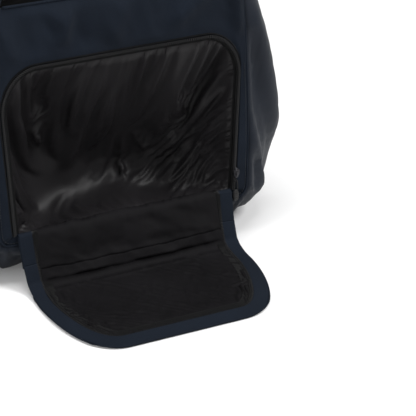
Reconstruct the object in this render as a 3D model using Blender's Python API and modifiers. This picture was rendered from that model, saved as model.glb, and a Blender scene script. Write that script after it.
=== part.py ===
"""Racket backpack with a front shoe compartment: the working assembly, in metres, +Z up.

The bag stands on its base with its front towards -Y. The origin is the centre of the base, on the
ground. The shoe flap is folded down on the ground, and the main lid is zipped shut.
"""

import math

import bmesh
import bpy
from mathutils import Matrix, Vector

# Driving dimensions of the bag. An outline is half of the front view, from the base up to the top.
HEIGHT = 0.500
FRONT_Y, BACK_Y = -0.118, 0.118
LID_BOTTOM = 0.275  # below it the bag is one tub, above it the front half is the lid
BASE_FLAT, BASE_CORNER = 0.112, 0.085  # flat half of the base, height of the base corner
HALF_WIDTH, LID_HALF_WIDTH, TOP_FLAT = 0.183, 0.158, 0.055
SEAM_BOTTOM, SEAM_TOP = 0.047, 0.455
SEAM_FLAT, SEAM_CORNER, SEAM_HALF_WIDTH = 0.128, 0.060, 0.138
SEAM_LID_HALF_WIDTH, SEAM_TOP_FLAT = 0.131, 0.045
ROUNDING = 0.042  # depth over which the gusset rounds into the front seam
LEAN = 0.040  # how far the lid's front leans back at its top
BACK_ROUNDING = 0.010

FABRIC = 0.0025  # a lined fabric wall
LINING = 0.0012
GAP = 0.0003  # air left between pieces that touch
SEAM_GAP = 0.0010  # air left where two walls meet

# Main zip: it runs over the top in one plane.
ZIP_Y = 0.035
ZIP_SLOT = 0.0035
ZIP_BEAD = 0.0014
HALF_CHAIN = 0.0018  # from the zip's middle to the middle of a bead

# Shoe opening: the path of its zip chain.
HINGE_Z = 0.055
CHAIN_LOW, CHAIN_HALF, CHAIN_SHOULDER, CHAIN_TOP = 0.122, 0.128, 0.190, 0.237
CHAIN_TOP_FLAT = 0.090
CHAIN_BEAD = 0.0020
RIM = 0.0026  # from the chain's middle to the cut edge of the panel

# Shoe flap: it hangs from the hinge axis to the fold axis, and then lies on the ground.
HINGE_Y = FRONT_Y - 0.0015
FOLD_OUT, FOLD_Z = 0.020, 0.0025
FLAP_REACH = 0.137  # fold axis to the far edge
FLAP_HALF, FLAP_STRAIGHT, FLAP_TOP_FLAT = 0.118, 0.035, 0.062
DROP_HALF = 0.1135
FLAP_PLY, FLAP_BEAD = 0.0016, 0.0015
HEM, LINING_INSET = 0.0165, 0.0200
DROP_THICKNESS, HINGE_CLEAR = 0.0020, 0.0022

# Small hardware.
SLIDER_WIDE, SLIDER_LONG, SLIDER_DEEP = 0.0080, 0.0130, 0.0040
PULL_WIDE, PULL_LONG, PULL_DEEP = 0.0065, 0.0240, 0.0014
SHOE_SLIDER_Z = 0.078
POCKET_ZIP_Z, POCKET_ZIP_HALF, POCKET_SLIDER_X = 0.311, 0.118, 0.100
MAIN_SLIDER_X = 0.0085
STRAP_X, STRAP_TOP_Z, STRAP_LOW_Z = 0.062, 0.442, 0.030
STRAP_HALF, STRAP_DEPTH = 0.031, 0.011
WEB_HALF, WEB_DEPTH = 0.0125, 0.0016
HANDLE_HALF, HANDLE_RISE, HANDLE_RADIUS = 0.045, 0.030, 0.0050

parts = bpy.data.collections.new("racket_backpack")
materials = {}


# ---------------------------------------------------------------- scene, materials, helpers


def clear_scene():
    for old in list(bpy.data.objects):
        bpy.data.objects.remove(old)
    bpy.context.scene.collection.children.link(parts)


def material(name, colour, roughness, metallic=0.0):
    made = bpy.data.materials.new(name)
    made.use_nodes = True
    shader = made.node_tree.nodes["Principled BSDF"]
    shader.inputs["Base Color"].default_value = (*colour, 1.0)
    shader.inputs["Roughness"].default_value = roughness
    shader.inputs["Metallic"].default_value = metallic
    materials[name] = made


def make_materials():
    material("navy_fabric", (0.012, 0.020, 0.036), 0.8)
    material("satin_fabric", (0.024, 0.030, 0.044), 0.5)
    material("black_lining", (0.008, 0.008, 0.009), 0.45)
    material("black_webbing", (0.010, 0.010, 0.011), 0.8)
    material("air_mesh", (0.014, 0.014, 0.016), 0.95)
    material("zip_coil", (0.012, 0.012, 0.012), 0.4)
    material("dark_metal", (0.10, 0.10, 0.11), 0.3, 1.0)
    material("black_plastic", (0.012, 0.012, 0.013), 0.45)


def add(name, data, slot, pivot=(0, 0, 0)):
    """Adds data, drawn in world coordinates, as an object whose origin is at pivot."""
    made = bpy.data.objects.new(name, data)
    data.materials.append(materials[slot])
    data.transform(Matrix.Translation(-Vector(pivot)))
    made.location = pivot
    parts.objects.link(made)
    return made


def sheet(name, rows, slot, thickness, closed=False, cap=False, pivot=(0, 0, 0)):
    """A fabric wall through rows of points; the points lie on its outer face."""
    bm = bmesh.new()
    grid = [[bm.verts.new(point) for point in row] for row in rows]
    for first, second in zip(grid, grid[1:]):
        count = len(first)
        for i in range(count if closed else count - 1):
            j = (i + 1) % count
            bm.faces.new((first[i], first[j], second[j], second[i]))
    if cap:
        bm.faces.new(grid[-1])
    bm.normal_update()
    mesh = bpy.data.meshes.new(name)
    bm.to_mesh(mesh)
    bm.free()
    mesh.shade_smooth()
    made = add(name, mesh, slot, pivot)
    solid = made.modifiers.new("thickness", "SOLIDIFY")
    solid.thickness = thickness
    solid.offset = -1
    solid.use_even_offset = True
    return made


def plate(name, outlines, low, high, slot, pivot=(0, 0, 0), upright=True):
    """A flat plate: outlines in x and z between two values of y, or in x and y between two of z."""
    curve = bpy.data.curves.new(name, "CURVE")
    curve.dimensions, curve.fill_mode = "2D", "BOTH"
    curve.extrude = (high - low) / 2
    middle = (low + high) / 2
    side = pivot[2] if upright else pivot[1]
    for outline in outlines:
        spline = curve.splines.new("POLY")
        spline.points.add(len(outline) - 1)
        for point, (u, v) in zip(spline.points, outline):
            point.co = (u - pivot[0], v - side, 0, 1)
        spline.use_cyclic_u = True
    made = bpy.data.objects.new(name, curve)
    curve.materials.append(materials[slot])
    if upright:
        made.rotation_euler.x = math.radians(90)
        made.location = (pivot[0], middle, side)
    else:
        made.location = (pivot[0], side, middle)
    parts.objects.link(made)
    return made


def tube(name, points, radius, slot, pivot=(0, 0, 0), sides=2):
    """A round bead along a polyline, with closed ends."""
    curve = bpy.data.curves.new(name, "CURVE")
    curve.dimensions = "3D"
    curve.bevel_depth, curve.bevel_resolution = radius, sides
    curve.use_fill_caps = True
    spline = curve.splines.new("POLY")
    spline.points.add(len(points) - 1)
    for point, place in zip(spline.points, points):
        point.co = (*place, 1)
    return add(name, curve, slot, pivot)


def block(name, size, centre, slot, pivot=None, edge=0.0004, turn=None):
    """A box with bevelled edges."""
    bm = bmesh.new()
    bmesh.ops.create_cube(bm, size=1)
    bmesh.ops.scale(bm, vec=size, verts=bm.verts)
    bmesh.ops.bevel(bm, geom=bm.edges, offset=edge, segments=1, affect="EDGES", clamp_overlap=True)
    if turn:
        bmesh.ops.rotate(bm, verts=bm.verts, matrix=turn)
    bmesh.ops.translate(bm, vec=centre, verts=bm.verts)
    mesh = bpy.data.meshes.new(name)
    bm.to_mesh(mesh)
    bm.free()
    return add(name, mesh, slot, pivot or centre)


# ---------------------------------------------------------------- outlines


def line(start, end, count):
    """Points from start towards end, without the last one."""
    return [Vector(start).lerp(Vector(end), i / count) for i in range(count)]


def corner(start, end, count, upright_start=False):
    """A quarter ellipse from start towards end, level at its start unless upright_start."""
    (x0, z0), (x1, z1) = start, end
    points = []
    for i in range(count):
        turn = math.radians(90) * i / count
        rise, run = 1 - math.cos(turn), math.sin(turn)
        if upright_start:
            rise, run = run, rise
        points.append(Vector((x0 + (x1 - x0) * run, z0 + (z1 - z0) * rise)))
    return points


def bend(start, leave, arrive, end, count):
    """A cubic curve from start towards end, without the last point."""
    points = []
    for i in range(count):
        t = i / count
        near, far = (1 - t) ** 2, t ** 2
        points.append(
            near * (1 - t) * Vector(start) + 3 * near * t * Vector(leave)
            + 3 * far * (1 - t) * Vector(arrive) + far * t * Vector(end)
        )
    return points


SIDE_COUNT, SHOULDER_COUNT, TOP_COUNT = 6, 10, 2


def bag_tub():
    """The bag's widest outline, from the middle of the base up to the lid's lower edge."""
    return (
        line((0, 0), (BASE_FLAT, 0), 3)
        + corner((BASE_FLAT, 0), (HALF_WIDTH, BASE_CORNER), 8)
        + bend((HALF_WIDTH, BASE_CORNER), (0.187, 0.150), (0.170, 0.230),
               (LID_HALF_WIDTH, LID_BOTTOM), SIDE_COUNT)
        + [Vector((LID_HALF_WIDTH, LID_BOTTOM))]
    )


def bag_dome():
    """The bag's widest outline, from the lid's lower edge up to the middle of the top."""
    return (
        bend((LID_HALF_WIDTH, LID_BOTTOM), (0.140, 0.355), (0.125, HEIGHT),
             (TOP_FLAT, HEIGHT), SHOULDER_COUNT)
        + line((TOP_FLAT, HEIGHT), (0, HEIGHT), TOP_COUNT)
        + [Vector((0, HEIGHT))]
    )


def seam_tub():
    return (
        line((0, SEAM_BOTTOM), (SEAM_FLAT, SEAM_BOTTOM), 3)
        + corner((SEAM_FLAT, SEAM_BOTTOM), (SEAM_HALF_WIDTH, SEAM_CORNER), 8)
        + bend((SEAM_HALF_WIDTH, SEAM_CORNER), (0.140, 0.150), (0.138, 0.210),
               (SEAM_LID_HALF_WIDTH, LID_BOTTOM), SIDE_COUNT)
        + [Vector((SEAM_LID_HALF_WIDTH, LID_BOTTOM))]
    )


def seam_dome():
    return (
        bend((SEAM_LID_HALF_WIDTH, LID_BOTTOM), (0.122, 0.350), (0.100, SEAM_TOP),
             (SEAM_TOP_FLAT, SEAM_TOP), SHOULDER_COUNT)
        + line((SEAM_TOP_FLAT, SEAM_TOP), (0, SEAM_TOP), TOP_COUNT)
        + [Vector((0, SEAM_TOP))]
    )


def whole(half):
    """A half outline and its mirror image, as one line from the right end round to the left one."""
    mirrored = [Vector((-point.x, point.y)) for point in half]
    if abs(half[0].x) < 1e-9:
        return list(reversed(half)) + mirrored[1:]
    return list(half) + list(reversed(mirrored))[1:]


def inset(points, amount, centre=(0, 0.2)):
    """Moves each point of an open line towards centre's side, square to the line."""
    moved = []
    for i, point in enumerate(points):
        along = (points[min(i + 1, len(points) - 1)] - points[max(i - 1, 0)]).normalized()
        across = Vector((-along.y, along.x))
        if across.dot(Vector(centre) - point) < 0:
            across.negate()
        moved.append(point + across * amount)
    return moved


def front_y(z):
    """The front surface at a height: upright on the tub, leaning back on the lid."""
    share = max(0.0, (z - LID_BOTTOM) / (SEAM_TOP - LID_BOTTOM))
    return FRONT_Y + LEAN * share ** 1.6


def gusset_row(edge, seam, from_y=None, to_y=None):
    """The gusset's section at one place along it: from the front seam to the back one."""
    start = front_y(seam.y)
    points = []
    for i in range(6):
        turn = math.radians(90) * i / 5
        place = seam.lerp(edge, math.sin(turn))
        points.append((place.x, start + ROUNDING * (1 - math.cos(turn)), place.y))
    inner = inset_towards_middle(edge, 0.007)
    rear = [
        (edge.x, 0.0, edge.y),
        (edge.x, BACK_Y - BACK_ROUNDING, edge.y),
        (inner.x, BACK_Y - 0.002, inner.y),
    ]
    if to_y is not None:
        return points + [(edge.x, to_y, edge.y)]
    if from_y is not None:
        return [(edge.x, from_y, edge.y)] + rear[1:]
    return points + rear


def inset_towards_middle(point, amount):
    towards = Vector((0, 0.2)) - point
    return point + towards.normalized() * amount


# ---------------------------------------------------------------- the tub


def make_tub():
    seam, edge = whole(seam_tub()), whole(bag_tub())
    for end in (seam[0], seam[-1], edge[0], edge[-1]):
        end.y = LID_BOTTOM - ZIP_SLOT
    rows = [gusset_row(e, s) for e, s in zip(edge, seam)]
    sheet("lower_gusset", list(reversed(rows)), "satin_fabric", FABRIC)

    rim = chain_path(-RIM)
    outer = inset(seam, SEAM_GAP)
    outer[0].y = outer[-1].y = LID_BOTTOM - SEAM_GAP
    hole = rim + [Vector((-CHAIN_LOW - RIM, HINGE_Z + 0.003)), Vector((CHAIN_LOW + RIM, HINGE_Z + 0.003))]
    plate("front_panel", [outer, hole], FRONT_Y, FRONT_Y + FABRIC, "navy_fabric")

    back = whole_loop(inset(whole(bag_tub()), 0.010), inset(whole(bag_dome()), 0.010))
    plate("back_panel", [back], BACK_Y - 0.008, BACK_Y, "navy_fabric")

    board = rounded(0.110, -0.072, 0.100, 0.020)
    plate("base_board", [board], FABRIC + GAP, FABRIC + GAP + 0.002, "black_plastic", upright=False)


def whole_loop(tub, dome):
    """One closed outline from the tub's and the dome's, with no point twice."""
    return tub + list(reversed(dome))[1:-1]


def rounded(half, low, high, radius, count=4):
    """A rounded rectangle, symmetric in x, between two values of the other axis."""
    loop = []
    for sx, sy, start in ((1, 1, 0), (-1, 1, 90), (-1, -1, 180), (1, -1, 270)):
        centre = Vector((sx * (half - radius), (high if sy > 0 else low) - sy * radius))
        for i in range(count + 1):
            turn = math.radians(start + 90 * i / count)
            loop.append(centre + radius * Vector((math.cos(turn), math.sin(turn))))
    return loop


def make_upper_shell():
    """The part of the upper bag that stays with the back: behind the main zip."""
    dome = whole(bag_dome())
    dome[0].y = dome[-1].y = LID_BOTTOM - ZIP_SLOT + SEAM_GAP
    rows = [gusset_row(e, e, from_y=ZIP_Y + ZIP_SLOT) for e in dome]
    sheet("upper_gusset", rows, "satin_fabric", FABRIC)
    tube("main_chain_rear", main_chain_path(-HALF_CHAIN), ZIP_BEAD, "zip_coil")


def main_chain_path(away):
    """One half of the main chain: from the front seam back along the lid's lower edge, over the top,
    and forward again; away is how far it lies from the zip's middle, towards the lid."""
    z = LID_BOTTOM + away
    foot = []
    for i in range(7):
        turn = math.radians(90) * i / 6
        x = SEAM_LID_HALF_WIDTH + (LID_HALF_WIDTH - SEAM_LID_HALF_WIDTH) * math.sin(turn)
        depth = ROUNDING * (1 - math.cos(turn))
        foot.append(Vector((x - FABRIC / 2, FRONT_Y + FABRIC / 2 + depth, z)))
    over = [Vector((p.x, ZIP_Y - away, p.y)) for p in inset(whole(bag_dome()), FABRIC / 2)]
    over[0] = Vector((foot[-1].x, ZIP_Y - away, z))
    over[-1] = Vector((-foot[-1].x, ZIP_Y - away, z))
    back = [Vector((-p.x, p.y, p.z)) for p in reversed(foot)]
    return foot[1:] + over + back[:-1]


# ---------------------------------------------------------------- inside


def make_inside():
    mouth, room = FRONT_Y + FABRIC + SEAM_GAP, 0.022
    rings = (
        (mouth, 0.1255, 0.050, 0.2410, 0.012),
        (mouth + 0.030, 0.1400, 0.022, 0.2540, 0.014),
        (room - 0.040, 0.1480, 0.016, 0.2570, 0.014),
        (room - 0.006, 0.1470, 0.017, 0.2560, 0.014),
        (room, 0.1400, 0.024, 0.2490, 0.014),
    )
    rows = [[(-p.x, y, p.y) for p in rounded(half, low, high, r)] for y, half, low, high, r in rings]
    sheet("shoe_liner", rows, "black_lining", LINING, closed=True, cap=True)

    shelf_z, wall_y = 0.2625, 0.0300
    spans = (
        (FRONT_Y + 0.012, shelf_z, 0.124), (FRONT_Y + 0.045, shelf_z, 0.148),
        (wall_y - 0.004, shelf_z, 0.150),
        (wall_y, shelf_z - 0.004, 0.151), (wall_y, 0.180, 0.166), (wall_y, 0.100, 0.172),
        (wall_y, 0.045, 0.160), (wall_y, 0.012, 0.130),
    )
    rows = [[(x * half, y, z) for x in (-1, -0.5, 0, 0.5, 1)] for y, z, half in spans]
    sheet("shoe_divider", list(reversed(rows)), "black_lining", 0.0015)

    sleeve = [Vector((x, 0.012)) for x in (-0.118, 0.118)]
    sleeve += [Vector((0.140, 0.060)), Vector((0.140, 0.300))]
    sleeve += bend((0.140, 0.300), (0.135, 0.380), (0.100, 0.415), (0.060, 0.415), 4)
    sleeve += [Vector((0.060, 0.415)), Vector((-0.060, 0.415))]
    sleeve += list(reversed([Vector((-p.x, p.y)) for p in sleeve[4:8]]))
    sleeve += [Vector((-0.140, 0.060))]
    plate("racket_sleeve_panel", [sleeve], 0.058, 0.062, "black_lining")


# ---------------------------------------------------------------- shoe zip and flap


def chain_path(widen=0.0):
    """The chain round the opening, from its right foot over the top to its left foot."""
    half = (
        line((CHAIN_LOW - widen, HINGE_Z + 0.003), (CHAIN_HALF - widen, CHAIN_SHOULDER), 4)
        + corner((CHAIN_HALF - widen, CHAIN_SHOULDER), (CHAIN_TOP_FLAT, CHAIN_TOP - widen), 8, True)
        + line((CHAIN_TOP_FLAT, CHAIN_TOP - widen), (0, CHAIN_TOP - widen), 2)
        + [Vector((0, CHAIN_TOP - widen))]
    )
    return whole(half)


def make_shoe_zip():
    path = chain_path()
    path[0].y = path[-1].y = HINGE_Z + 0.006
    tube("shoe_chain", [(p.x, FRONT_Y + 0.001, p.y) for p in path], CHAIN_BEAD, "zip_coil")
    along = Vector((CHAIN_HALF - CHAIN_LOW, 0, CHAIN_SHOULDER - HINGE_Z - 0.003)).normalized()
    lean = math.atan2(along.x, along.z)
    start = Vector((CHAIN_LOW, 0, HINGE_Z + 0.003))
    middle = start + along * ((SHOE_SLIDER_Z - start.z) / along.z)
    middle.x += 0.0008
    middle.y = FRONT_Y - 0.0018 - SLIDER_DEEP / 2
    turn = Matrix.Rotation(lean, 3, "Y")
    size = (SLIDER_WIDE, SLIDER_DEEP, SLIDER_LONG)
    block("shoe_slider", size, middle, "dark_metal", turn=turn, edge=0.0010)
    eye = middle - Vector((0, 0, SLIDER_LONG / 2 + PULL_WIDE / 2 + GAP))
    pull = (PULL_WIDE, PULL_DEEP, PULL_LONG)
    block("shoe_pull", pull, eye - Vector((0, 0, PULL_LONG / 2)), "black_webbing", pivot=eye)


def flap_outline(edge):
    """The flap's outline on the ground, that far inside its cut edge; x and y."""
    far = HINGE_Y - FOLD_OUT - FLAP_REACH + edge
    near = HINGE_Y - FOLD_OUT - HINGE_CLEAR
    side = FLAP_HALF - edge
    half = [Vector((min(side, DROP_HALF), near)), Vector((side, near - 0.014))]
    half += bend((side, near - FLAP_STRAIGHT), (side - 0.003, far + 0.045), (side - 0.020, far),
                 (FLAP_TOP_FLAT, far), 8)
    half += [Vector((FLAP_TOP_FLAT, far)), Vector((0, far))]
    return whole(half)


def make_flap():
    hinge = (0, HINGE_Y, HINGE_Z)
    fold = (0, HINGE_Y - FOLD_OUT, FOLD_Z)
    down = Vector((0, fold[1] - hinge[1], fold[2] - hinge[2]))
    length = down.length
    turn = Matrix.Rotation(-math.atan2(-down.y, -down.z), 3, "X")
    size = (2 * DROP_HALF, DROP_THICKNESS, length - 2 * HINGE_CLEAR)
    block("flap_hinge_panel", size, Vector(hinge) + down / 2, "navy_fabric", hinge, 0.0004, turn)

    top = FLAP_PLY
    plate("flap_shell", [flap_outline(0.0)], 0.0, top, "navy_fabric", pivot=fold, upright=False)
    lining = flap_outline(LINING_INSET)
    plate("flap_lining", [lining], top + GAP, top + GAP + LINING, "black_lining", pivot=fold, upright=False)
    path = flap_outline(HEM)
    height = top + GAP + FLAP_BEAD
    tube("flap_chain", [(p.x, p.y, height) for p in path], FLAP_BEAD, "zip_coil", pivot=fold)


# ---------------------------------------------------------------- main lid and its pocket


def make_lid():
    hinge = (0, FRONT_Y, LID_BOTTOM)
    seam, edge = whole(seam_dome()), whole(bag_dome())
    for end in (seam[0], seam[-1], edge[0], edge[-1]):
        end.y = LID_BOTTOM + ZIP_SLOT + SEAM_GAP
    rows = [gusset_row(e, s, to_y=ZIP_Y - ZIP_SLOT) for e, s in zip(edge, seam)]
    sheet("lid_gusset", rows, "satin_fabric", FABRIC, pivot=hinge)

    half = inset(seam, SEAM_GAP)
    right = half[: len(half) // 2 + 1]
    rows = []
    for point in right[:-1]:
        z = min(point.y, SEAM_TOP - SEAM_GAP)
        rows.append([(x * point.x, front_y(z), z) for x in (-1, -0.6, -0.2, 0.2, 0.6, 1)])
    rows[0] = [(x, FRONT_Y, LID_BOTTOM + GAP) for x, y, z in rows[0]]
    rows = rows[:SHOULDER_COUNT + 1]
    sheet("lid_front", rows, "navy_fabric", FABRIC, pivot=hinge)

    tube("main_chain_lid", main_chain_path(HALF_CHAIN), ZIP_BEAD, "zip_coil", pivot=hinge)

    slot = Vector((0, front_y(POCKET_ZIP_Z) - ZIP_BEAD - GAP - 0.0004, POCKET_ZIP_Z))
    ends = [slot + Vector((x * POCKET_ZIP_HALF, 0, 0)) for x in (-1, -0.5, 0, 0.5, 1)]
    tube("pocket_chain", ends, ZIP_BEAD, "zip_coil", pivot=hinge)
    middle = slot + Vector((POCKET_SLIDER_X, -ZIP_BEAD - GAP - SLIDER_DEEP / 2, 0))
    block("pocket_slider", (SLIDER_LONG, SLIDER_DEEP, SLIDER_WIDE), middle, "dark_metal", edge=0.0010)
    eye = middle - Vector((0, 0, SLIDER_WIDE / 2 + 0.0012))
    pull = (PULL_WIDE, PULL_DEEP, PULL_LONG)
    block("pocket_pull", pull, eye - Vector((0, 0, PULL_LONG / 2)), "black_webbing", pivot=eye)

    pocket = [
        [(x * half, front_y(z) + depth, z) for x in (-1, -0.5, 0, 0.5, 1)]
        for z, half, depth in ((0.284, 0.105, 0.004), (0.290, 0.105, 0.011), (0.330, 0.104, 0.016),
                               (0.380, 0.096, 0.016), (0.410, 0.085, 0.011), (0.416, 0.082, 0.004))
    ]
    sheet("pocket_liner", pocket, "black_lining", LINING, pivot=hinge)


def make_main_sliders():
    for side, name in ((-1, "left"), (1, "right")):
        middle = Vector((side * MAIN_SLIDER_X, ZIP_Y + 0.0043, HEIGHT + 0.0006 + SLIDER_DEEP / 2))
        size = (SLIDER_LONG, SLIDER_WIDE, SLIDER_DEEP)
        block(f"main_slider_{name}", size, middle, "dark_metal", edge=0.0010)
        eye = middle + Vector((side * (SLIDER_LONG / 2 + 0.0012), 0, -SLIDER_DEEP / 2 + 0.0012))
        size = (PULL_LONG, PULL_WIDE, PULL_DEEP)
        centre = eye + Vector((side * PULL_LONG / 2, 0, 0))
        block(f"main_pull_{name}", size, centre, "black_webbing", pivot=eye)


# ---------------------------------------------------------------- back: pads, straps, handle


def make_back():
    face = BACK_Y + GAP
    for side, name in ((-1, "left"), (1, "right")):
        pad_middle = Vector((side * 0.066, face + 0.006, 0.285))
        block(f"back_pad_{name}", (0.090, 0.012, 0.260), pad_middle, "air_mesh", edge=0.005)
    block("lumbar_pad", (0.100, 0.012, 0.080), Vector((0, face + 0.006, 0.100)), "air_mesh", edge=0.005)
    for side, name in ((-1, "left"), (1, "right")):
        make_strap(side, name)

    handle_y, handle_z = 0.090, HEIGHT + GAP + 0.0014
    for side, name in ((-1, "left"), (1, "right")):
        foot = Vector((side * HANDLE_HALF, handle_y, handle_z - 0.0002))
        block(f"handle_foot_{name}", (0.020, 0.024, 0.0024), foot, "black_webbing")
    height = handle_z + 0.0012 + GAP + HANDLE_RADIUS
    reach = HANDLE_HALF - HANDLE_RADIUS
    points = []
    for i in range(13):
        turn = math.radians(180) * i / 12
        points.append((reach * math.cos(turn), handle_y, height + HANDLE_RISE * math.sin(turn) ** 0.6))
    tube("grab_handle", points, HANDLE_RADIUS, "black_webbing", pivot=(0, handle_y, height), sides=3)


def strap_line():
    """Middle of the padded strap in y and z, from its top anchor down: bowed out from the back."""
    return [
        (0.1335, STRAP_TOP_Z), (0.1450, 0.430), (0.1530, 0.396), (0.1570, 0.340),
        (0.1580, 0.280), (0.1550, 0.220), (0.1490, 0.170),
    ]


def make_strap(side, name):
    axis = (side * STRAP_X, BACK_Y + GAP + 0.0135, STRAP_TOP_Z)
    centre = [Vector((0, y, z)) for y, z in strap_line()]
    rows = []
    for i, point in enumerate(centre):
        along = (centre[min(i + 1, len(centre) - 1)] - centre[max(i - 1, 0)]).normalized()
        out = Vector((1, 0, 0)).cross(along)
        if out.y < 0:
            out.negate()
        x = side * (STRAP_X + 0.010 * i / (len(centre) - 1))
        half = STRAP_HALF * (0.7 if i in (0, len(centre) - 1) else 1.0)
        ring = []
        for across, deep in ((-1, 0.3), (-0.85, 0.5), (0.85, 0.5), (1, 0.3), (1, -0.3), (0.85, -0.5),
                             (-0.85, -0.5), (-1, -0.3)):
            ring.append(point + Vector((x + across * half, 0, 0)) + out * deep * STRAP_DEPTH)
        rows.append(ring)
    bm = bmesh.new()
    grid = [[bm.verts.new(point) for point in row] for row in rows]
    for first, second in zip(grid, grid[1:]):
        for i in range(8):
            j = (i + 1) % 8
            bm.faces.new((first[i], second[i], second[j], first[j]))
    bm.faces.new(grid[0])
    bm.faces.new(list(reversed(grid[-1])))
    bmesh.ops.recalc_face_normals(bm, faces=bm.faces)
    mesh = bpy.data.meshes.new(name)
    bm.to_mesh(mesh)
    bm.free()
    mesh.shade_smooth()
    add(f"{name}_shoulder_strap", mesh, "air_mesh", pivot=axis)

    anchor = Vector((side * STRAP_X, BACK_Y + GAP + 0.0020, STRAP_TOP_Z + 0.018))
    block(f"{name}_strap_anchor", (0.046, 0.0040, 0.026), anchor, "black_webbing")
    low_y, low_z = strap_line()[-1]
    x = side * (STRAP_X + 0.010)
    buckle = Vector((x, low_y - 0.0010, low_z - 0.0215))
    ladder_lock(f"{name}_ladder_lock", buckle)
    start = buckle - Vector((0, 0.0010, 0.0195))
    end = Vector((side * (STRAP_X + 0.030), BACK_Y + 0.0120, STRAP_LOW_Z + 0.012))
    web = []
    for i in range(7):
        t = i / 6
        middle = start.lerp(end, t) + Vector((0, 0.010 * math.sin(math.pi * t), 0))
        web.append([middle + Vector((s * WEB_HALF, 0, 0)) for s in (1, -1)])
    sheet(f"{name}_lower_webbing", web, "black_webbing", WEB_DEPTH, pivot=axis)
    foot = Vector((side * (STRAP_X + 0.030), BACK_Y + GAP + 0.0020, STRAP_LOW_Z - 0.003))
    block(f"{name}_lower_anchor", (0.040, 0.0040, 0.026), foot, "black_webbing")


def ladder_lock(name, middle):
    """A flat buckle frame with two slots, hung by its top bar."""
    frame = rounded(0.017, -0.016, 0.016, 0.003, 3)
    upper = rounded(0.0130, 0.0035, 0.0105, 0.001, 2)
    lower = rounded(0.0130, -0.0105, -0.0035, 0.001, 2)
    placed = [[point + Vector((middle.x, middle.z)) for point in loop] for loop in (frame, upper, lower)]
    pivot = middle + Vector((0, 0, 0.013))
    plate(name, placed, middle.y - 0.002, middle.y + 0.002, "black_plastic", pivot=pivot)


clear_scene()
make_materials()
make_tub()
make_upper_shell()
make_inside()
make_shoe_zip()
make_flap()
make_lid()
make_main_sliders()
make_back()
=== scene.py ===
"""Looks of a racket backpack with its shoe compartment open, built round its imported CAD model."""

import math

import bmesh
import bpy
import numpy as np
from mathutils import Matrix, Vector, noise


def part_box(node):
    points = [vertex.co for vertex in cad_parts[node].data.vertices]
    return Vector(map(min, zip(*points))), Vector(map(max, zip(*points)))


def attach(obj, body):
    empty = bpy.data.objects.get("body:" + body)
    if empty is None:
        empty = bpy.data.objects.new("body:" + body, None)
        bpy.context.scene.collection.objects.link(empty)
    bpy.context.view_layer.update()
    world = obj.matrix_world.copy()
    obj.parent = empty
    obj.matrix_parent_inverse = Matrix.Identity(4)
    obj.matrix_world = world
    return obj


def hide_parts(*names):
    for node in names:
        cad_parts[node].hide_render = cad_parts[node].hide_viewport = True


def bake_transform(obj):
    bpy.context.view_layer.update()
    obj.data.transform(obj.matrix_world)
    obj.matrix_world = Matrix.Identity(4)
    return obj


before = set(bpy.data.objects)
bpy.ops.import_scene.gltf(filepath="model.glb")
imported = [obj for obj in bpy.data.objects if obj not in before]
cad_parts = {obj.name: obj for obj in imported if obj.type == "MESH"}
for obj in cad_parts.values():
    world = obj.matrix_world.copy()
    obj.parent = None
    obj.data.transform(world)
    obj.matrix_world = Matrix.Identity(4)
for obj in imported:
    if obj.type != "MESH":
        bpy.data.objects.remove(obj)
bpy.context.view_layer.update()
MM = 0.001
ACROSS, BACK, UP = np.eye(3)
OUT = -BACK

# ---------------------------------------------------------------- measures, in metres
HEIGHT, FRONT_Y, BACK_Y, LID_BOTTOM = 0.500, -0.118, 0.118, 0.275
BASE_FLAT, BASE_CORNER, HALF_WIDTH, LID_HALF_WIDTH, TOP_FLAT = 0.112, 0.085, 0.183, 0.158, 0.055
SEAM_BOTTOM, SEAM_TOP, SEAM_FLAT, SEAM_CORNER = 0.047, 0.455, 0.128, 0.060
SEAM_HALF_WIDTH, SEAM_LID_HALF_WIDTH, SEAM_TOP_FLAT = 0.138, 0.131, 0.045
ROUNDING, LEAN, BACK_ROUNDING, BACK_LIP = 0.042, 0.040, 0.010, 0.0105
ZIP_Y, ZIP_SLOT = 0.035, 0.0035
HINGE_Z, HINGE_Y, FOLD_OUT, FLAP_REACH = 0.055, -0.1195, 0.020, 0.137
CHAIN_LOW, CHAIN_HALF, CHAIN_SHOULDER, CHAIN_TOP, CHAIN_TOP_FLAT = 0.122, 0.128, 0.190, 0.237, 0.090
FLAP_Y, FLAP_HALF, FLAP_STRAIGHT, FLAP_TOP_FLAT, DROP_HALF = HINGE_Y - FOLD_OUT, 0.118, 0.035, 0.062, 0.1135
POCKET_ZIP_Z, POCKET_ZIP_HALF = 0.311, 0.118
CLOTH_LINE = 0.3025  # where the front cloth meets the front pocket's zip
STRAP_X, STRAP_HALF, STRAP_DEPTH = 0.062, 0.031, 0.011
WEB_HALF, WEB_DEPTH = 0.0125, 0.0016
CLOTH = 0.0012
FLAT_POINTS = 12  # points along an outline's level start, before its corner


# ---------------------------------------------------------------- curves
def line(start, end, count):
    t = np.arange(count)[:, None] / count
    return np.array(start) + t * (np.array(end) - np.array(start))


def corner(start, end, count, upright=False):
    """A quarter ellipse, level at its start, or upright there."""
    turn = np.radians(90) * np.arange(count) / count
    rise, run = 1 - np.cos(turn), np.sin(turn)
    if upright:
        rise, run = run, rise
    (x0, z0), (x1, z1) = start, end
    return np.stack([x0 + (x1 - x0) * run, z0 + (z1 - z0) * rise], 1)


def bend(start, leave, arrive, end, count):
    t = np.arange(count)[:, None] / count
    a, b, c, d = (np.array(p) for p in (start, leave, arrive, end))
    return a * (1 - t) ** 3 + 3 * b * t * (1 - t) ** 2 + 3 * c * t * t * (1 - t) + d * t**3


def even(path, count):
    """The path with count points at even distances, both ends included."""
    path = np.asarray(path, float)
    run = np.r_[0, np.cumsum(np.linalg.norm(np.diff(path, axis=0), axis=1))]
    return np.stack([np.interp(np.linspace(0, run[-1], count), run, c) for c in path.T], 1)


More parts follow.
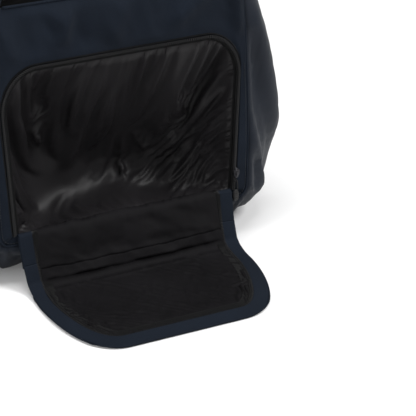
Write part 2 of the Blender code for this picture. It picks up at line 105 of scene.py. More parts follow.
def through(points, degree, count):
    """A smooth curve near the given points."""
    knots, t = np.linspace(0, 1, len(points)), np.linspace(0, 1, count)
    return np.stack([np.polyval(np.polyfit(knots, c, degree), t) for c in points.T], 1)


def length_of(path):
    return float(np.linalg.norm(np.diff(path, axis=0), axis=1).sum())


def mirrored(half):
    """An outline from one of its ends, over the middle where the half stops, to the other end."""
    return np.concatenate([half, (half * (-1, 1, 1)[:half.shape[1]])[-2::-1]])


def whole(half):
    """A tub's outline from its half, which starts in the middle."""
    return np.concatenate([(half * (-1, 1))[:0:-1], half])


def tub(low, flat, side, corner_z, leave, arrive, top_side):
    """Half an outline from the middle of its base up to the lid."""
    top = (top_side, LID_BOTTOM)
    return np.concatenate([line((0, low), (flat, low), FLAT_POINTS), corner((flat, low), (side, corner_z), 32),
                           bend((side, corner_z), leave, arrive, top, 24), [top]])


def dome(side, leave, arrive_x, flat, top):
    """Half an outline from the lid's lower end up to the middle of its top."""
    return np.concatenate([bend((side, LID_BOTTOM), leave, (arrive_x, top), (flat, top), 40),
                           line((flat, top), (0, top), 8), [(0, top)]])


BAG_TUB = tub(0, BASE_FLAT, HALF_WIDTH, BASE_CORNER, (0.187, 0.150), (0.170, 0.230), LID_HALF_WIDTH)
SEAM_TUB = tub(SEAM_BOTTOM, SEAM_FLAT, SEAM_HALF_WIDTH, SEAM_CORNER, (0.140, 0.150), (0.138, 0.210),
               SEAM_LID_HALF_WIDTH)
BAG_DOME = dome(LID_HALF_WIDTH, (0.140, 0.355), 0.125, TOP_FLAT, HEIGHT)
SEAM_DOME = dome(SEAM_LID_HALF_WIDTH, (0.122, 0.350), 0.100, SEAM_TOP_FLAT, SEAM_TOP)


def chain_path(widen=0.0):
    """The shoe compartment's zip, as (x, z), from the left end over the top to the right end."""
    side, top = CHAIN_HALF - widen, CHAIN_TOP - widen
    half = np.concatenate([line((CHAIN_LOW - widen, HINGE_Z + 3 * MM), (side, CHAIN_SHOULDER), 16),
                           corner((side, CHAIN_SHOULDER), (CHAIN_TOP_FLAT, top), 32, True),
                           line((CHAIN_TOP_FLAT, top), (0, top), 16), [(0, top)]])
    return mirrored(half * (-1, 1))


def flap_outline(edge=0.0):
    """The flap's edge as (x, y), from the left end of its hinge round to the right end."""
    far, side = FLAP_Y - FLAP_REACH + edge, FLAP_HALF - edge
    wide = (side, FLAP_Y - 14 * MM)
    straight = (side, FLAP_Y - FLAP_STRAIGHT)
    half = np.concatenate([line((min(side, DROP_HALF), FLAP_Y), wide, 4), line(wide, straight, 4),
                           bend(straight, (side - 3 * MM, far + 45 * MM), (side - 20 * MM, far),
                                (FLAP_TOP_FLAT, far), 32),
                           line((FLAP_TOP_FLAT, far), (0, far), 8), [(0, far)]])
    return mirrored(half * (-1, 1))


def front_y(z):
    lift = np.maximum(0, (np.asarray(z, float) - LID_BOTTOM) / (SEAM_TOP - LID_BOTTOM))
    return FRONT_Y + LEAN * lift**1.6


def on_front(path, lift=0.0):
    """An (x, z) path laid on the leaning front, or lifted off it."""
    return np.stack([path[:, 0], front_y(path[:, 1]) - lift, path[:, 1]], 1)


def smooth(t):
    t = np.clip(t, 0, 1)
    return t * t * (3 - 2 * t)


def steps(low, count_u, count_v):
    """Two directions of a grid, from low to 1, that broadcast to its shape."""
    return np.linspace(low, 1, count_u)[:, None], np.linspace(low, 1, count_v)[None]


def coons(left, right, low, high, count_u, count_v):
    """A grid of points between four edges; u runs from left to right and v from low to high."""
    left, right = even(left, count_v), even(right, count_v)
    low, high = even(low, count_u), even(high, count_u)
    u = np.linspace(0, 1, count_u)[:, None, None]
    v = np.linspace(0, 1, count_v)[None, :, None]
    flat = (1 - v) * low[:, None] + v * high[:, None] + (1 - u) * left[None] + u * right[None]
    ends = (1 - u) * ((1 - v) * low[0] + v * high[0]) + u * ((1 - v) * low[-1] + v * high[-1])
    return flat - ends


# ---------------------------------------------------------------- fields over a grid
def unit(vectors):
    return vectors / (np.linalg.norm(vectors, axis=-1, keepdims=True) + 1e-12)


def normals(grid, away_from=None):
    n = unit(np.cross(np.gradient(grid, axis=0), np.gradient(grid, axis=1)))
    if away_from is not None and ((grid - np.array(away_from)) * n).sum() < 0:
        n = -n
    return n


def measure(grid):
    """Distances along both directions of the grid, used as texture coordinates in metres."""
    u = np.linalg.norm(np.diff(grid, axis=0), axis=2).mean(1)
    u = np.r_[0, np.cumsum(u)][:, None] + np.zeros(grid.shape[1])[None]
    v = np.linalg.norm(np.diff(grid, axis=1), axis=2)
    v = np.concatenate([np.zeros((grid.shape[0], 1)), np.cumsum(v, axis=1)], 1)
    return u, v - v.mean(1, keepdims=True)


def cloud(u, v, scale, seed, ridged=False, octaves=2):
    """Seeded noise from -1 to 1, or ridged from 0 to 1 with sharp crests."""
    u, v = np.broadcast_arrays(u, v)
    flat = np.stack([u.ravel(), v.ravel()], 1)
    out = np.zeros(len(flat))
    for k in range(octaves):
        f = scale * 2**k
        n = np.array([noise.noise((a * f, b * f, seed * 7.31 + k * 3.7)) for a, b in flat])
        out += (1 - np.abs(n) * 2.2 if ridged else n) * 0.5**k
    return out.reshape(u.shape)


def folds(u, v, ridges):
    """Soft ridges of cloth, each from its start to its end, with its width and height in millimetres."""
    total = 0
    for start, end, width, height in ridges:
        a, d = np.array(start), np.array(end) - np.array(start)
        t = ((u - a[0]) * d[0] + (v - a[1]) * d[1]) / (d @ d)
        side = ((u - a[0]) * d[1] - (v - a[1]) * d[0]) / math.hypot(*d)
        fade = smooth(t / 0.35) * smooth((1 - t) / 0.35)
        total = total + height * MM * fade * np.exp(-((side / (width * MM)) ** 2))
    return total


def spread_out(field, reach):
    """The field averaged over a square of cells, one direction after the other."""
    for _ in range(2):
        sums = np.cumsum(np.pad(field, ((reach, reach), (0, 0)), mode="edge"), axis=0)
        lag = np.concatenate([np.zeros_like(sums[:1]), sums[:-2 * reach - 1]])
        field = ((sums[2 * reach:] - lag) / (2 * reach + 1)).T
    return field


def edges_held(grid):
    held = np.ones(grid.shape[:2], bool)
    held[1:-1, 1:-1] = False
    return held


# ---------------------------------------------------------------- meshes
def put(name, verts, faces, mat, uv=None):
    mesh = bpy.data.meshes.new(name)
    mesh.from_pydata([tuple(v) for v in verts], [], [tuple(int(i) for i in f) for f in faces])
    obj = bpy.data.objects.new(name, mesh)
    bpy.context.scene.collection.objects.link(obj)
    mesh.materials.append(mat)
    layer = mesh.uv_layers.new(name="cloth")
    if uv is not None:
        index = np.empty(len(mesh.loops), int)
        mesh.loops.foreach_get("vertex_index", index)
        layer.data.foreach_set("uv", np.asarray(uv, np.float32)[index].ravel())
    mesh.polygons.foreach_set("use_smooth", [True] * len(mesh.polygons))
    mesh.update()
    return obj


def turned_out(obj):
    """Closed mesh with its faces turned outwards."""
    bm = bmesh.new()
    bm.from_mesh(obj.data)
    bmesh.ops.recalc_face_normals(bm, faces=bm.faces)
    bm.to_mesh(obj.data)
    bm.free()
    return obj


def quads(rows, cols, wrap=False):
    index = np.arange(rows * cols).reshape(rows, cols)
    if wrap:
        index = np.concatenate([index, index[:, :1]], 1)
    return np.stack([index[:-1, :-1], index[1:, :-1], index[1:, 1:], index[:-1, 1:]], 2).reshape(-1, 4)


def two_faced(name, outer, inner, uv, mat, flip=False):
    """A closed sheet between two grids of one shape. Returns it and the order of its rim's points."""
    rows, cols = outer.shape[:2]
    faces, index = quads(rows, cols), np.arange(rows * cols).reshape(rows, cols)
    top, back = (faces[:, ::-1], faces) if flip else (faces, faces[:, ::-1])
    rim = np.concatenate([index[:, 0], index[-1, 1:], index[-2::-1, -1], index[0, -2:0:-1]])
    after = np.roll(rim, -1)
    side = np.stack([rim, after, after + rows * cols, rim + rows * cols], 1)
    verts = np.concatenate([outer.reshape(-1, 3), inner.reshape(-1, 3)])
    faces = np.concatenate([top, back + rows * cols, side])
    return turned_out(put(name, verts, faces, mat, np.tile(uv.reshape(-1, 2), (2, 1)))), rim


def cloth(name, grid, mat, thickness=CLOTH, out=None):
    """A closed sheet of cloth. Its outer face is the grid; its inner face lies a thickness behind it."""
    n = normals(grid, out)
    flip = (normals(grid) * n).sum() < 0
    return two_faced(name, grid, grid - n * thickness, np.stack(measure(grid), 2), mat, flip)[0]


def sweep(name, path, side, up, section, mat, scale=None, closed=False):
    """A closed section of (side, up) offsets carried along a path."""
    path, section = np.asarray(path, float), np.asarray(section, float)
    side, up = (np.broadcast_to(d, path.shape) for d in (side, up))
    size = np.ones((len(path), 2)) if scale is None else np.asarray(scale, float)
    grid = (path[:, None] + side[:, None] * (section[None, :, :1] * size[:, None, :1])
            + up[:, None] * (section[None, :, 1:] * size[:, None, 1:]))
    if closed:
        grid = np.concatenate([grid, grid[:1]], 0)
    rows, cols = grid.shape[:2]
    run = np.r_[0, np.cumsum(np.linalg.norm(np.diff(grid.mean(1), axis=0), axis=1))]
    ring = np.r_[0, np.cumsum(np.linalg.norm(np.diff(section, axis=0), axis=1))]
    uv = np.stack(np.broadcast_arrays(ring[None, :], run[:, None]), 2).reshape(-1, 2)
    faces = quads(rows, cols, True).tolist()
    if not closed:
        faces += [list(range(cols)), list(range((rows - 1) * cols, rows * cols))[::-1]]
    return turned_out(put(name, grid.reshape(-1, 3), faces, mat, uv))


def frames(path, up):
    """Sideways and upward directions along a path, with up as near the given one as it can be."""
    ahead = unit(np.gradient(np.asarray(path, float), axis=0))
    side = unit(np.cross(ahead, np.broadcast_to(up, ahead.shape)))
    return side, np.cross(side, ahead)


def square_to(path, fixed=ACROSS):
    """Outward directions along a strap whose width keeps one direction."""
    return unit(np.cross(fixed, np.gradient(path, axis=0)))


def hoop(name, path, up, count, section, mat):
    """A section carried once round a path that closes on itself."""
    path = even(np.concatenate([path, path[:1]]), count)[:-1]
    side, _ = frames(np.concatenate([path, path[:1]]), up)
    return sweep(name, path, side[:-1], up, section, mat, closed=True)


def round_section(a, b, count=12):
    turn = 2 * np.pi * np.arange(count) / count
    return np.stack([a * np.cos(turn), b * np.sin(turn)], 1)


def soft_section(half_width, half_depth, power=4.0, count=24):
    """A rounded rectangle with softened corners."""
    turn = 2 * np.pi * np.arange(count) / count
    c, s = np.cos(turn), np.sin(turn)
    return np.stack([half_width * np.sign(c) * np.abs(c) ** (2 / power),
                     half_depth * np.sign(s) * np.abs(s) ** (2 / power)], 1)


def flat_section(half_width, half_depth):
    return soft_section(half_width, half_depth, 6, 16)


def copies(name, centre, ahead, side, up, cell, ring, pitch, mat):
    """One closed cell of (ahead, side, up) offsets, in four rings, at every point of a path."""
    count, size = len(centre), len(cell)
    verts = (centre[:, None] + ahead[:, None] * cell[None, :, :1] + side[:, None] * cell[None, :, 1:2]
             + up[:, None] * cell[None, :, 2:])
    one = [*quads(4, ring, True).tolist(), list(range(ring)), list(range(size - ring, size))[::-1]]
    faces = [[i + size * k for i in face] for k in range(count) for face in one]
    run = np.repeat(np.arange(count) * pitch, size) + np.tile(cell[:, 0], count)
    uv = np.stack([np.tile(cell[:, 1], count), run], 1)
    return turned_out(put(name, verts.reshape(-1, 3), faces, mat, uv))


def teeth(name, path, side, up, pitch=1.6 * MM, long=2.4 * MM, wide=0.85 * MM, deep=1.5 * MM, slant=0.0):
    """The turns of a zip's coil: one small rounded bar for each, across the path."""
    count = max(2, int(length_of(path) / pitch))
    centre = even(path, count)
    side, up = (unit(even(np.broadcast_to(d, path.shape), count)) for d in (side, up))
    section = soft_section(wide / 2, deep / 2, 2.6, 8)
    cell = np.array([(s[0] * tall + at * slant, at * long, s[1] * tall)
                     for at, tall in ((-0.5, 0.55), (-0.36, 1.0), (0.36, 1.0), (0.5, 0.55)) for s in section])
    return copies(name, centre, unit(np.gradient(centre, axis=0)), side, up, cell, 8, pitch, coil)


STITCH_PITCH, STITCH_LENGTH, THREAD_RADIUS, STITCH_LIFT = 3.2 * MM, 2.3 * MM, 0.28 * MM, 0.15 * MM


def stitches(name, path, up, mat):
    """A row of sewing thread stitches that lies on a surface whose outward direction is up."""
    count = max(2, int(length_of(path) / STITCH_PITCH))
    up = even(np.broadcast_to(up, path.shape), count)
    centre = even(path, count) + up * STITCH_LIFT
    ahead = unit(np.gradient(centre, axis=0))
    ring = round_section(THREAD_RADIUS, THREAD_RADIUS, 6)
    cell = np.array([(along * STITCH_LENGTH, r[0] * thick, r[1] * thick)
                     for along, thick in ((-0.5, 0.3), (-0.25, 1), (0.25, 1), (0.5, 0.3)) for r in ring])
    return copies(name, centre, ahead, np.cross(ahead, up), up, cell, 6, STITCH_PITCH, mat)


def joined(name, objs):
    """Several objects as one piece, keeping their materials."""
    bpy.ops.object.select_all(action="DESELECT")
    for o in objs:
        o.select_set(True)
    bpy.context.view_layer.objects.active = objs[0]
    bpy.ops.object.join()
    objs[0].name = name
    return objs[0]


# ---------------------------------------------------------------- cloth simulation
SIM_SCALE, PLY_GAP, WEIGHT = 5.0, 1.4 * MM, 9.81


def settle(grid, grow, frames_run, gravity=1.0, bending=0.4, stiffness=8.0, walls=(), lean=0.0):
    """Lets a sheet, held at its edges, grow slack and fall into folds. Returns the new grid.
    lean tips its weight towards the back of the bag, in degrees."""
    rows, cols = grid.shape[:2]
    scene = bpy.context.scene
    scene.gravity = (0, WEIGHT * math.sin(math.radians(lean)), -WEIGHT * math.cos(math.radians(lean)))
    obj = put("settling", (grid * SIM_SCALE).reshape(-1, 3), quads(rows, cols), bpy.data.materials[0])
    group = obj.vertex_groups.new(name="held")
    for i in np.flatnonzero(edges_held(grid).ravel()):
        group.add([int(i)], 1.0, "REPLACE")
    blocks = []
    for points in walls:
        wall = put("wall", (points * SIM_SCALE).reshape(-1, 3), quads(*points.shape[:2]), bpy.data.materials[0])
        wall.modifiers.new("Collision", "COLLISION")
        wall.collision.thickness_outer = 2 * MM * SIM_SCALE
        wall.collision.cloth_friction = 8
        blocks.append(wall)
    mod = obj.modifiers.new("Cloth", "CLOTH")
    for key, value in {"quality": 7, "mass": 0.25, "air_damping": 1.5, "tension_stiffness": stiffness,
                       "compression_stiffness": stiffness, "shear_stiffness": stiffness / 3,
                       "bending_stiffness": bending, "tension_damping": 3, "compression_damping": 3,
                       "vertex_group_mass": "held", "shrink_min": -grow}.items():
        setattr(mod.settings, key, value)
    mod.settings.effector_weights.gravity = gravity
    for key, value in {"use_collision": bool(walls), "distance_min": MM * SIM_SCALE, "use_self_collision": True,
                       "self_distance_min": PLY_GAP * SIM_SCALE, "collision_quality": 2}.items():
        setattr(mod.collision_settings, key, value)
    mod.point_cache.frame_start, mod.point_cache.frame_end = 1, frames_run
    scene.frame_start, scene.frame_end = 1, frames_run
    for f in range(1, frames_run + 1):
        scene.frame_set(f)
    done = obj.evaluated_get(bpy.context.evaluated_depsgraph_get())
    out = np.empty(rows * cols * 3)
    done.data.vertices.foreach_get("co", out)
    for o in [obj, *blocks]:
        bpy.data.objects.remove(o)
    scene.frame_set(1)
    return out.reshape(rows, cols, 3) / SIM_SCALE


# ---------------------------------------------------------------- materials
WAVE_TURN = 2 * math.pi / 20  # a wave texture of scale 1 repeats over this length


class Finish:
    """A new material with its shader's fixed values set, and the steps that add nodes to it."""

    def __init__(self, name, colour, rough, specular=0.5, metallic=0.0, sheen=0.0, coords="UV"):
        self.colour, self.rough = colour, rough
        self.mat = bpy.data.materials.new(name)
        self.mat.use_nodes = True
        self.nodes, self.links = self.mat.node_tree.nodes, self.mat.node_tree.links
        self.shader = self.nodes["Principled BSDF"].inputs
        for key, value in {"Base Color": (*colour, 1), "Roughness": rough, "Specular IOR Level": specular,
                           "Metallic": metallic, "Sheen Weight": sheen, "Sheen Roughness": 0.5}.items():
            self.shader[key].default_value = value
        self.place = self.nodes.new("ShaderNodeTexCoord").outputs[coords]

    def texture(self, kind, place=None, **settings):
        node = self.nodes.new(f"ShaderNodeTex{kind}")
        self.links.new(place or self.place, node.inputs["Vector"])
        for key, value in settings.items():
            if key in node.inputs:
                node.inputs[key].default_value = value
            else:
                setattr(node, key, value)
        return node.outputs["Distance" if kind == "Voronoi" else "Fac"]

    def stretched(self, factors):
        node = self.nodes.new("ShaderNodeMapping")
        node.inputs["Scale"].default_value = factors
        self.links.new(self.place, node.inputs["Vector"])
        return node.outputs[0]

    def waves(self, direction, distance, **settings):
        return self.texture("Wave", bands_direction=direction, Scale=WAVE_TURN / distance, **settings)

    def maths(self, operation, *values):
        node = self.nodes.new("ShaderNodeMath")
        node.operation = operation
        for socket, value in zip(node.inputs, values):
            if isinstance(value, (int, float)):
                socket.default_value = value
            else:
                self.links.new(value, socket)
        return node.outputs[0]

    def roughen(self, factor, to):
        """Roughness that runs from its fixed value to another."""
        node = self.nodes.new("ShaderNodeMapRange")
        self.links.new(factor, node.inputs["Value"])
        for key, value in {"From Min": 0.3, "From Max": 0.7, "To Min": self.rough, "To Max": to}.items():
            node.inputs[key].default_value = value
        self.links.new(node.outputs[0], self.shader["Roughness"])

    def tint(self, factor, dark, light, start=0.3, end=0.7):
        """Colour that runs from dark to light times its fixed value."""
        ramp = self.nodes.new("ShaderNodeValToRGB")
        for stop, position, shade in zip(ramp.color_ramp.elements, (start, end), (dark, light)):
            stop.position = position
            stop.color = (*(c * shade for c in self.colour), 1)
        self.links.new(factor, ramp.inputs[0])
        self.links.new(ramp.outputs[0], self.shader["Base Color"])

    def bumps(self, *layers):
        """Chains (height, distance in metres, strength) layers into the shader's normal."""
        previous = None
        for height, distance, strength in layers:
            node = self.nodes.new("ShaderNodeBump")
            node.inputs["Distance"].default_value = distance
            node.inputs["Strength"].default_value = strength
            self.links.new(height, node.inputs["Height"])
            if previous is not None:
                self.links.new(previous, node.inputs["Normal"])
            previous = node.outputs[0]
        self.links.new(previous, self.shader["Normal"])


def fabric(name, colour, rough, specular, weave, depth, cloudy=0.18, speckle=0.25, sheen=0.0, crinkle=0.0,
           rough_to=None):
    """Woven cloth: threads, slight slubs, slow changes of tone and gloss, and fine crinkles if it is thin."""
    f = Finish(name, colour, rough, specular, sheen=sheen)
    slow = f.texture("Noise", Scale=14.0, Detail=3.0)
    fine = f.texture("Noise", f.stretched((1.0, 3.0, 1.0)), Scale=420.0, Detail=2.0)
    mixed = f.maths("ADD", f.maths("MULTIPLY", slow, 1 - speckle), f.maths("MULTIPLY", fine, speckle))
    f.tint(mixed, 1 - cloudy, 1 + cloudy)
    f.roughen(slow, rough_to or rough + 0.12)
    threads = f.maths("MULTIPLY", f.waves("X", weave), f.waves("Y", weave * 1.15))
    layers = [(threads, depth, 0.55), (fine, depth * 0.8, 0.4)]
    if crinkle:
        sharp = f.texture("Noise", Scale=55.0, Detail=4.0, Roughness=0.6, Distortion=1.2)
        layers.insert(0, (sharp, crinkle, 0.5))
    f.bumps(*layers)
    return f.mat


def webbing_finish(name, colour, rough, rib=1.6 * MM, specular=0.35):
    """Ribbed webbing: rows of turned loops across the band."""
    f = Finish(name, colour, rough, specular, sheen=0.05)
    rows = f.waves("Y", rib, Distortion=0.6)
    loops = f.waves("X", rib * 0.8)
    slow = f.texture("Noise", Scale=60.0, Detail=3.0)
    f.tint(slow, 0.8, 1.25)
    f.roughen(slow, rough + 0.15)
    f.bumps((f.maths("ADD", rows, f.maths("MULTIPLY", loops, 0.5)), 0.35 * MM, 0.8))
    return f.mat


def mesh_finish(name, colour):
    """Knitted spacer mesh with rows of small open cells, their middles painted near black as painted shade in the
    holes.
    """
    f = Finish(name, colour, 0.85, 0.2, sheen=0.15)
    cells = f.texture("Voronoi", Scale=330.0, Randomness=0.15)
    slow = f.texture("Noise", Scale=25.0, Detail=2.0)
    # painted shade: near black in the sunken middles of the cells, paler on the threads between them
    f.tint(cells, 0.15, 1.5, 0.15, 0.5)
    f.bumps((slow, 0.6 * MM, 0.3), (cells, 0.6 * MM, 1.0))
    return f.mat


def moulded_finish(name, colour, rough=0.42):
    """Moulded nylon with a fine spark texture and paler scuffs."""
    f = Finish(name, colour, rough, 0.35, coords="Object")
    grain = f.texture("Noise", Scale=2600.0, Detail=2.0)
    scuff = f.texture("Noise", Scale=90.0, Detail=6.0, Roughness=0.7)
    f.tint(scuff, 1, 1.8, 0.5, 0.8)
    f.roughen(scuff, rough + 0.2)
    f.bumps((grain, 0.08 * MM, 0.5))
    return f.mat


def metal_finish(name, colour, rough=0.32):
    """Dark plated metal with cast unevenness and rubbed patches."""
    f = Finish(name, colour, rough, 0.5, metallic=1.0, coords="Object")
    cast = f.texture("Noise", Scale=900.0, Detail=3.0)
    rub = f.texture("Noise", Scale=260.0, Detail=5.0)
    f.tint(rub, 1, 2.2, 0.45, 0.75)
    f.roughen(rub, rough + 0.18)
    f.bumps((cast, 0.1 * MM, 0.35))
    return f.mat


navy = fabric("navy_cloth", (0.0078, 0.0112, 0.0180), 0.78, 0.09, 0.7 * MM, 0.16 * MM,
              cloudy=0.30, speckle=0.5, sheen=0.01)
satin = fabric("satin_cloth", (0.0108, 0.0138, 0.0205), 0.46, 0.09, 0.5 * MM, 0.06 * MM,
               cloudy=0.1, speckle=0.12, sheen=0.03)
lining = fabric("nylon_lining", (0.0150, 0.0140, 0.0153), 0.36, 0.18, 0.45 * MM, 0.05 * MM,
                cloudy=0.15, speckle=0.12, crinkle=0.35 * MM, rough_to=0.46)
flap_inner = fabric("flap_inner_cloth", (0.0062, 0.0058, 0.0066), 0.62, 0.08, 0.6 * MM, 0.14 * MM,
                    cloudy=0.35, speckle=0.45, crinkle=0.5 * MM)
inner_cloth = fabric("inner_polyester", (0.0085, 0.0085, 0.0095), 0.6, 0.25, 0.6 * MM, 0.1 * MM, crinkle=0.3 * MM)
webbing = webbing_finish("ribbed_webbing", (0.0055, 0.0055, 0.0060), 0.62, specular=0.25)
tape = webbing_finish("zip_tape", (0.0030, 0.0030, 0.0034), 0.7, rib=0.9 * MM, specular=0.10)
binding = webbing_finish("edge_binding", (0.0066, 0.0070, 0.0085), 0.7, rib=1.1 * MM, specular=0.25)
air_mesh = mesh_finish("air_mesh", (0.0120, 0.0125, 0.0140))
thread = webbing_finish("sewing_thread", (0.0150, 0.0165, 0.0200), 0.6, rib=0.5 * MM)
black_thread = webbing_finish("black_thread", (0.0080, 0.0080, 0.0088), 0.6, rib=0.5 * MM)
coil = moulded_finish("zip_coil_nylon", (0.0062, 0.0062, 0.0070), 0.45)
moulded = moulded_finish("moulded_nylon", (0.0080, 0.0080, 0.0086))
gunmetal = metal_finish("gunmetal", (0.030, 0.030, 0.033))


def named(obj, slot, *nodes):
    """Hides the CAD nodes that a piece stands for; its slot is not used."""
    if nodes:
        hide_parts(*nodes)
    return obj


def fitted(obj, body, slot, *nodes):
    """Puts a piece on one CAD body."""
    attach(obj, body)
    return named(obj, slot, *nodes)


def webbed(obj, body, *nodes):
    return fitted(obj, body, "black_webbing", *nodes)


def middle_of(node):
    """The middle of a CAD node's box, and half its size."""
    low, high = (np.array(p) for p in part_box(node))
    return (low + high) / 2, (high - low) / 2


# ---------------------------------------------------------------- gussets
PINCH_Z = 0.2  # the back edge curls in towards this height


def gusset(edge, seam, y_to, count, y_from=None, round_back=True):
    """The bag's wall from its front seam over the rounded edge to y_to, at every point of the outline."""
    turn = np.radians(np.linspace(0, 90, 14))
    reach = y_to - (0.5 * BACK_ROUNDING if round_back else 0)
    rows = []
    for (ex, ez), (sx, sz) in zip(edge, seam):
        arc = np.array([(ex, y_from, ez)])
        if y_from is None:
            arc = np.stack([sx + (ex - sx) * np.sin(turn), front_y(sz) + ROUNDING * (1 - np.cos(turn)),
                            sz + (ez - sz) * np.sin(turn)], 1)
        tail = [(ex, reach, ez)]
        if round_back:
            inward = unit(np.array([-ex, PINCH_Z - ez])) * BACK_LIP
            tail.append((ex + inward[0], y_to, ez + inward[1]))
        back = line((ex, arc[-1, 1], ez), (ex, reach, ez), 10)[1:]
        rows.append(even(np.concatenate([arc, back, tail]), count))
    return np.array(rows)


def outline(edge, seam, count, end_z):
    """Edge and seam of a gusset at the same evenly spread places, with their ends at one height."""
    both = even(np.concatenate([edge, seam], 1), count)
    both[[0, -1], 1] = both[[0, -1], 3] = end_z
    return both[:, :2], both[:, 2:]


def relaxed(grid, grow, seed, depth):
    u, v = measure(grid)
    n = normals(grid, (0, 0, 0.22))
    from_ends, from_sides = (1 - np.abs(t) for t in steps(-1, *grid.shape[:2]))
    edge = np.minimum(1, np.minimum(from_ends, from_sides) * 8)
    ripple = cloud(u * 0.5, v, 16, seed) * 0.6 + cloud(u, v * 0.6, 34, seed + 1, ridged=True) * 0.25
    moved = settle(grid + n * (ripple * depth * smooth(edge))[:, :, None], grow, 26, gravity=0.6)
    proud = ((moved - grid) * n).sum(2)
    for _ in range(3):
        proud = np.clip(proud - spread_out(proud, 9) * 0.75, -2 * depth, 2 * depth)
    return grid + n * (proud * smooth(edge * 1.5))[:, :, None]


tub_edge, tub_seam = outline(whole(BAG_TUB), whole(SEAM_TUB), 150, LID_BOTTOM - ZIP_SLOT)
tub_wall = relaxed(gusset(tub_edge, tub_seam, BACK_Y - 2 * MM, 44), 0.040, 3, 5.5 * MM)
tub_wall[..., 2] = np.maximum(tub_wall[..., 2], 0.3 * MM)
lower_wall = cloth("lower_gusset_cloth", tub_wall, satin, out=(0, 0, 0.2))
fitted(lower_wall, "bag", "satin_fabric", "lower_gusset")

dome_seam = mirrored(SEAM_DOME)
lid_edge, lid_seam = outline(mirrored(BAG_DOME), dome_seam, 130, LID_BOTTOM + ZIP_SLOT + MM)
lid_wall = relaxed(gusset(lid_edge, lid_seam, ZIP_Y - ZIP_SLOT, 34, round_back=False), 0.025, 5, 3 * MM)
lid_side = cloth("lid_gusset_cloth", lid_wall, satin, out=(0, 0, 0.3))
fitted(lid_side, "lid", "satin_fabric", "lid_gusset")

rear_edge = lid_edge.copy()
rear_edge[[0, -1], 1] = LID_BOTTOM - ZIP_SLOT + MM
rear_wall = relaxed(gusset(rear_edge, rear_edge, BACK_Y - 2 * MM, 22, y_from=ZIP_Y + ZIP_SLOT), 0.02, 7, 2 * MM)
rear_side = cloth("upper_gusset_cloth", rear_wall, satin, out=(0, 0, 0.3))
fitted(rear_side, "bag", "satin_fabric", "upper_gusset")

# ---------------------------------------------------------------- front cloth
SEAM_SIDE = np.concatenate([SEAM_TUB[FLAT_POINTS:], SEAM_DOME[:-9]])
RING_ROWS, PULL_HEIGHT = 26, 3.4
FRONT_FOLDS = (((-0.075, 0.300), (-0.050, 0.247), 10, 2.4), ((-0.050, 0.302), (-0.068, 0.252), 7, 1.6),
               ((0.104, 0.302), (0.040, 0.250), 12, 2.0), ((0.005, 0.302), (-0.012, 0.244), 11, 1.4),
               ((0.120, 0.300), (0.128, 0.225), 7, 1.8), ((-0.126, 0.290), (-0.112, 0.240), 8, 1.5),
               ((-0.100, 0.298), (-0.030, 0.248), 10, -1.6))


def seam_x(z):
    """Half the front's width at that height."""
    return np.interp(z, SEAM_SIDE[:, 1], SEAM_SIDE[:, 0])


def front_ring(side_count, top_count):
    """Cloth between the shoe zip and the front's seams, as a U round the zip."""
    inner = chain_path(-1.6 * MM)
    split = int(np.argmin(np.abs(inner[:, 0] + 0.120) + 4 * np.abs(inner[:, 1] - 0.222)))
    inner = np.concatenate([even(inner[: split + 1], side_count), even(inner[split: -split], top_count)[1:-1],
                            even(inner[-split - 1:], side_count)])
    z = np.linspace(0.0505, CLOTH_LINE, 60)
    left = np.stack([-seam_x(z), z], 1)
    outer = np.concatenate([even(left, side_count), even([left[-1], (-left[-1, 0], CLOTH_LINE)], top_count)[1:-1],
                            even(left[::-1] * (-1, 1), side_count)])
    t = np.linspace(0, 1, RING_ROWS)[None, :, None]
    flat = inner[:, None] * (1 - t) + outer[:, None] * t
    return np.stack([flat[..., 0], front_y(flat[..., 1]), flat[..., 1]], 2)


ring = front_ring(60, 90)
x, z = ring[..., 0], ring[..., 2]
t = np.linspace(0, 1, RING_ROWS)[None]
edge = smooth(t * 6) * smooth((1 - t) * 5)
soft = cloud(x, z, 11, 11) * 5.0 * MM + cloud(x + z * 0.3, z * 0.5, 26, 12, ridged=True) * 2.2 * MM
flat_by_slider = 0.25 + 0.75 * smooth((z - 0.192) / 0.03)  # room for the slider and its pull beside the mouth
ring[..., 1] -= (folds(x, z, FRONT_FOLDS) * PULL_HEIGHT + soft + 1.2 * MM) * edge * flat_by_slider
front_cloth = cloth("front_panel_cloth", ring, navy, out=(0, 0, 0.2))
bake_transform(front_cloth)
named(front_cloth, "navy_fabric", "front_panel", "lid_front")

SILL_COUNT = 60
u, v = np.linspace(-1, 1, SILL_COUNT)[:, None], np.linspace(0, 1, 8)[None]
z = SEAM_BOTTOM + 0.6 * MM + v * (HINGE_Z + 2.6 * MM - SEAM_BOTTOM) + 0 * u
x = u * (seam_x(z) - 0.6 * MM)
sill = np.stack([x, FRONT_Y + 0.4 * MM + 0 * x, z], 2)
fitted(cloth("front_sill_cloth", sill, navy, out=(0, 0, 0.2)), "bag", "navy_fabric")


def lid_panel(count_u, count_v):
    """The front of the lid above the pocket zip, under its rounded top."""
    arc = even(SEAM_DOME, 200)
    above = arc[arc[:, 1] >= CLOTH_LINE + MM]
    split = int(len(above) * 0.62)
    right, crown = above[:split + 1], above[split:]
    x = np.linspace(above[0, 0], -above[0, 0], 61)
    slot = smooth((POCKET_ZIP_HALF + 4 * MM - np.abs(x)) / (5 * MM))
    low = np.stack([x, CLOTH_LINE + MM + (2 * (POCKET_ZIP_Z - CLOTH_LINE) - MM) * slot], 1)[::-1]
    flat = coons(right * (-1, 1), right, low, mirrored(crown * (-1, 1)), count_u, count_v)
    return np.stack([flat[..., 0], front_y(flat[..., 1]), flat[..., 1]], 2)


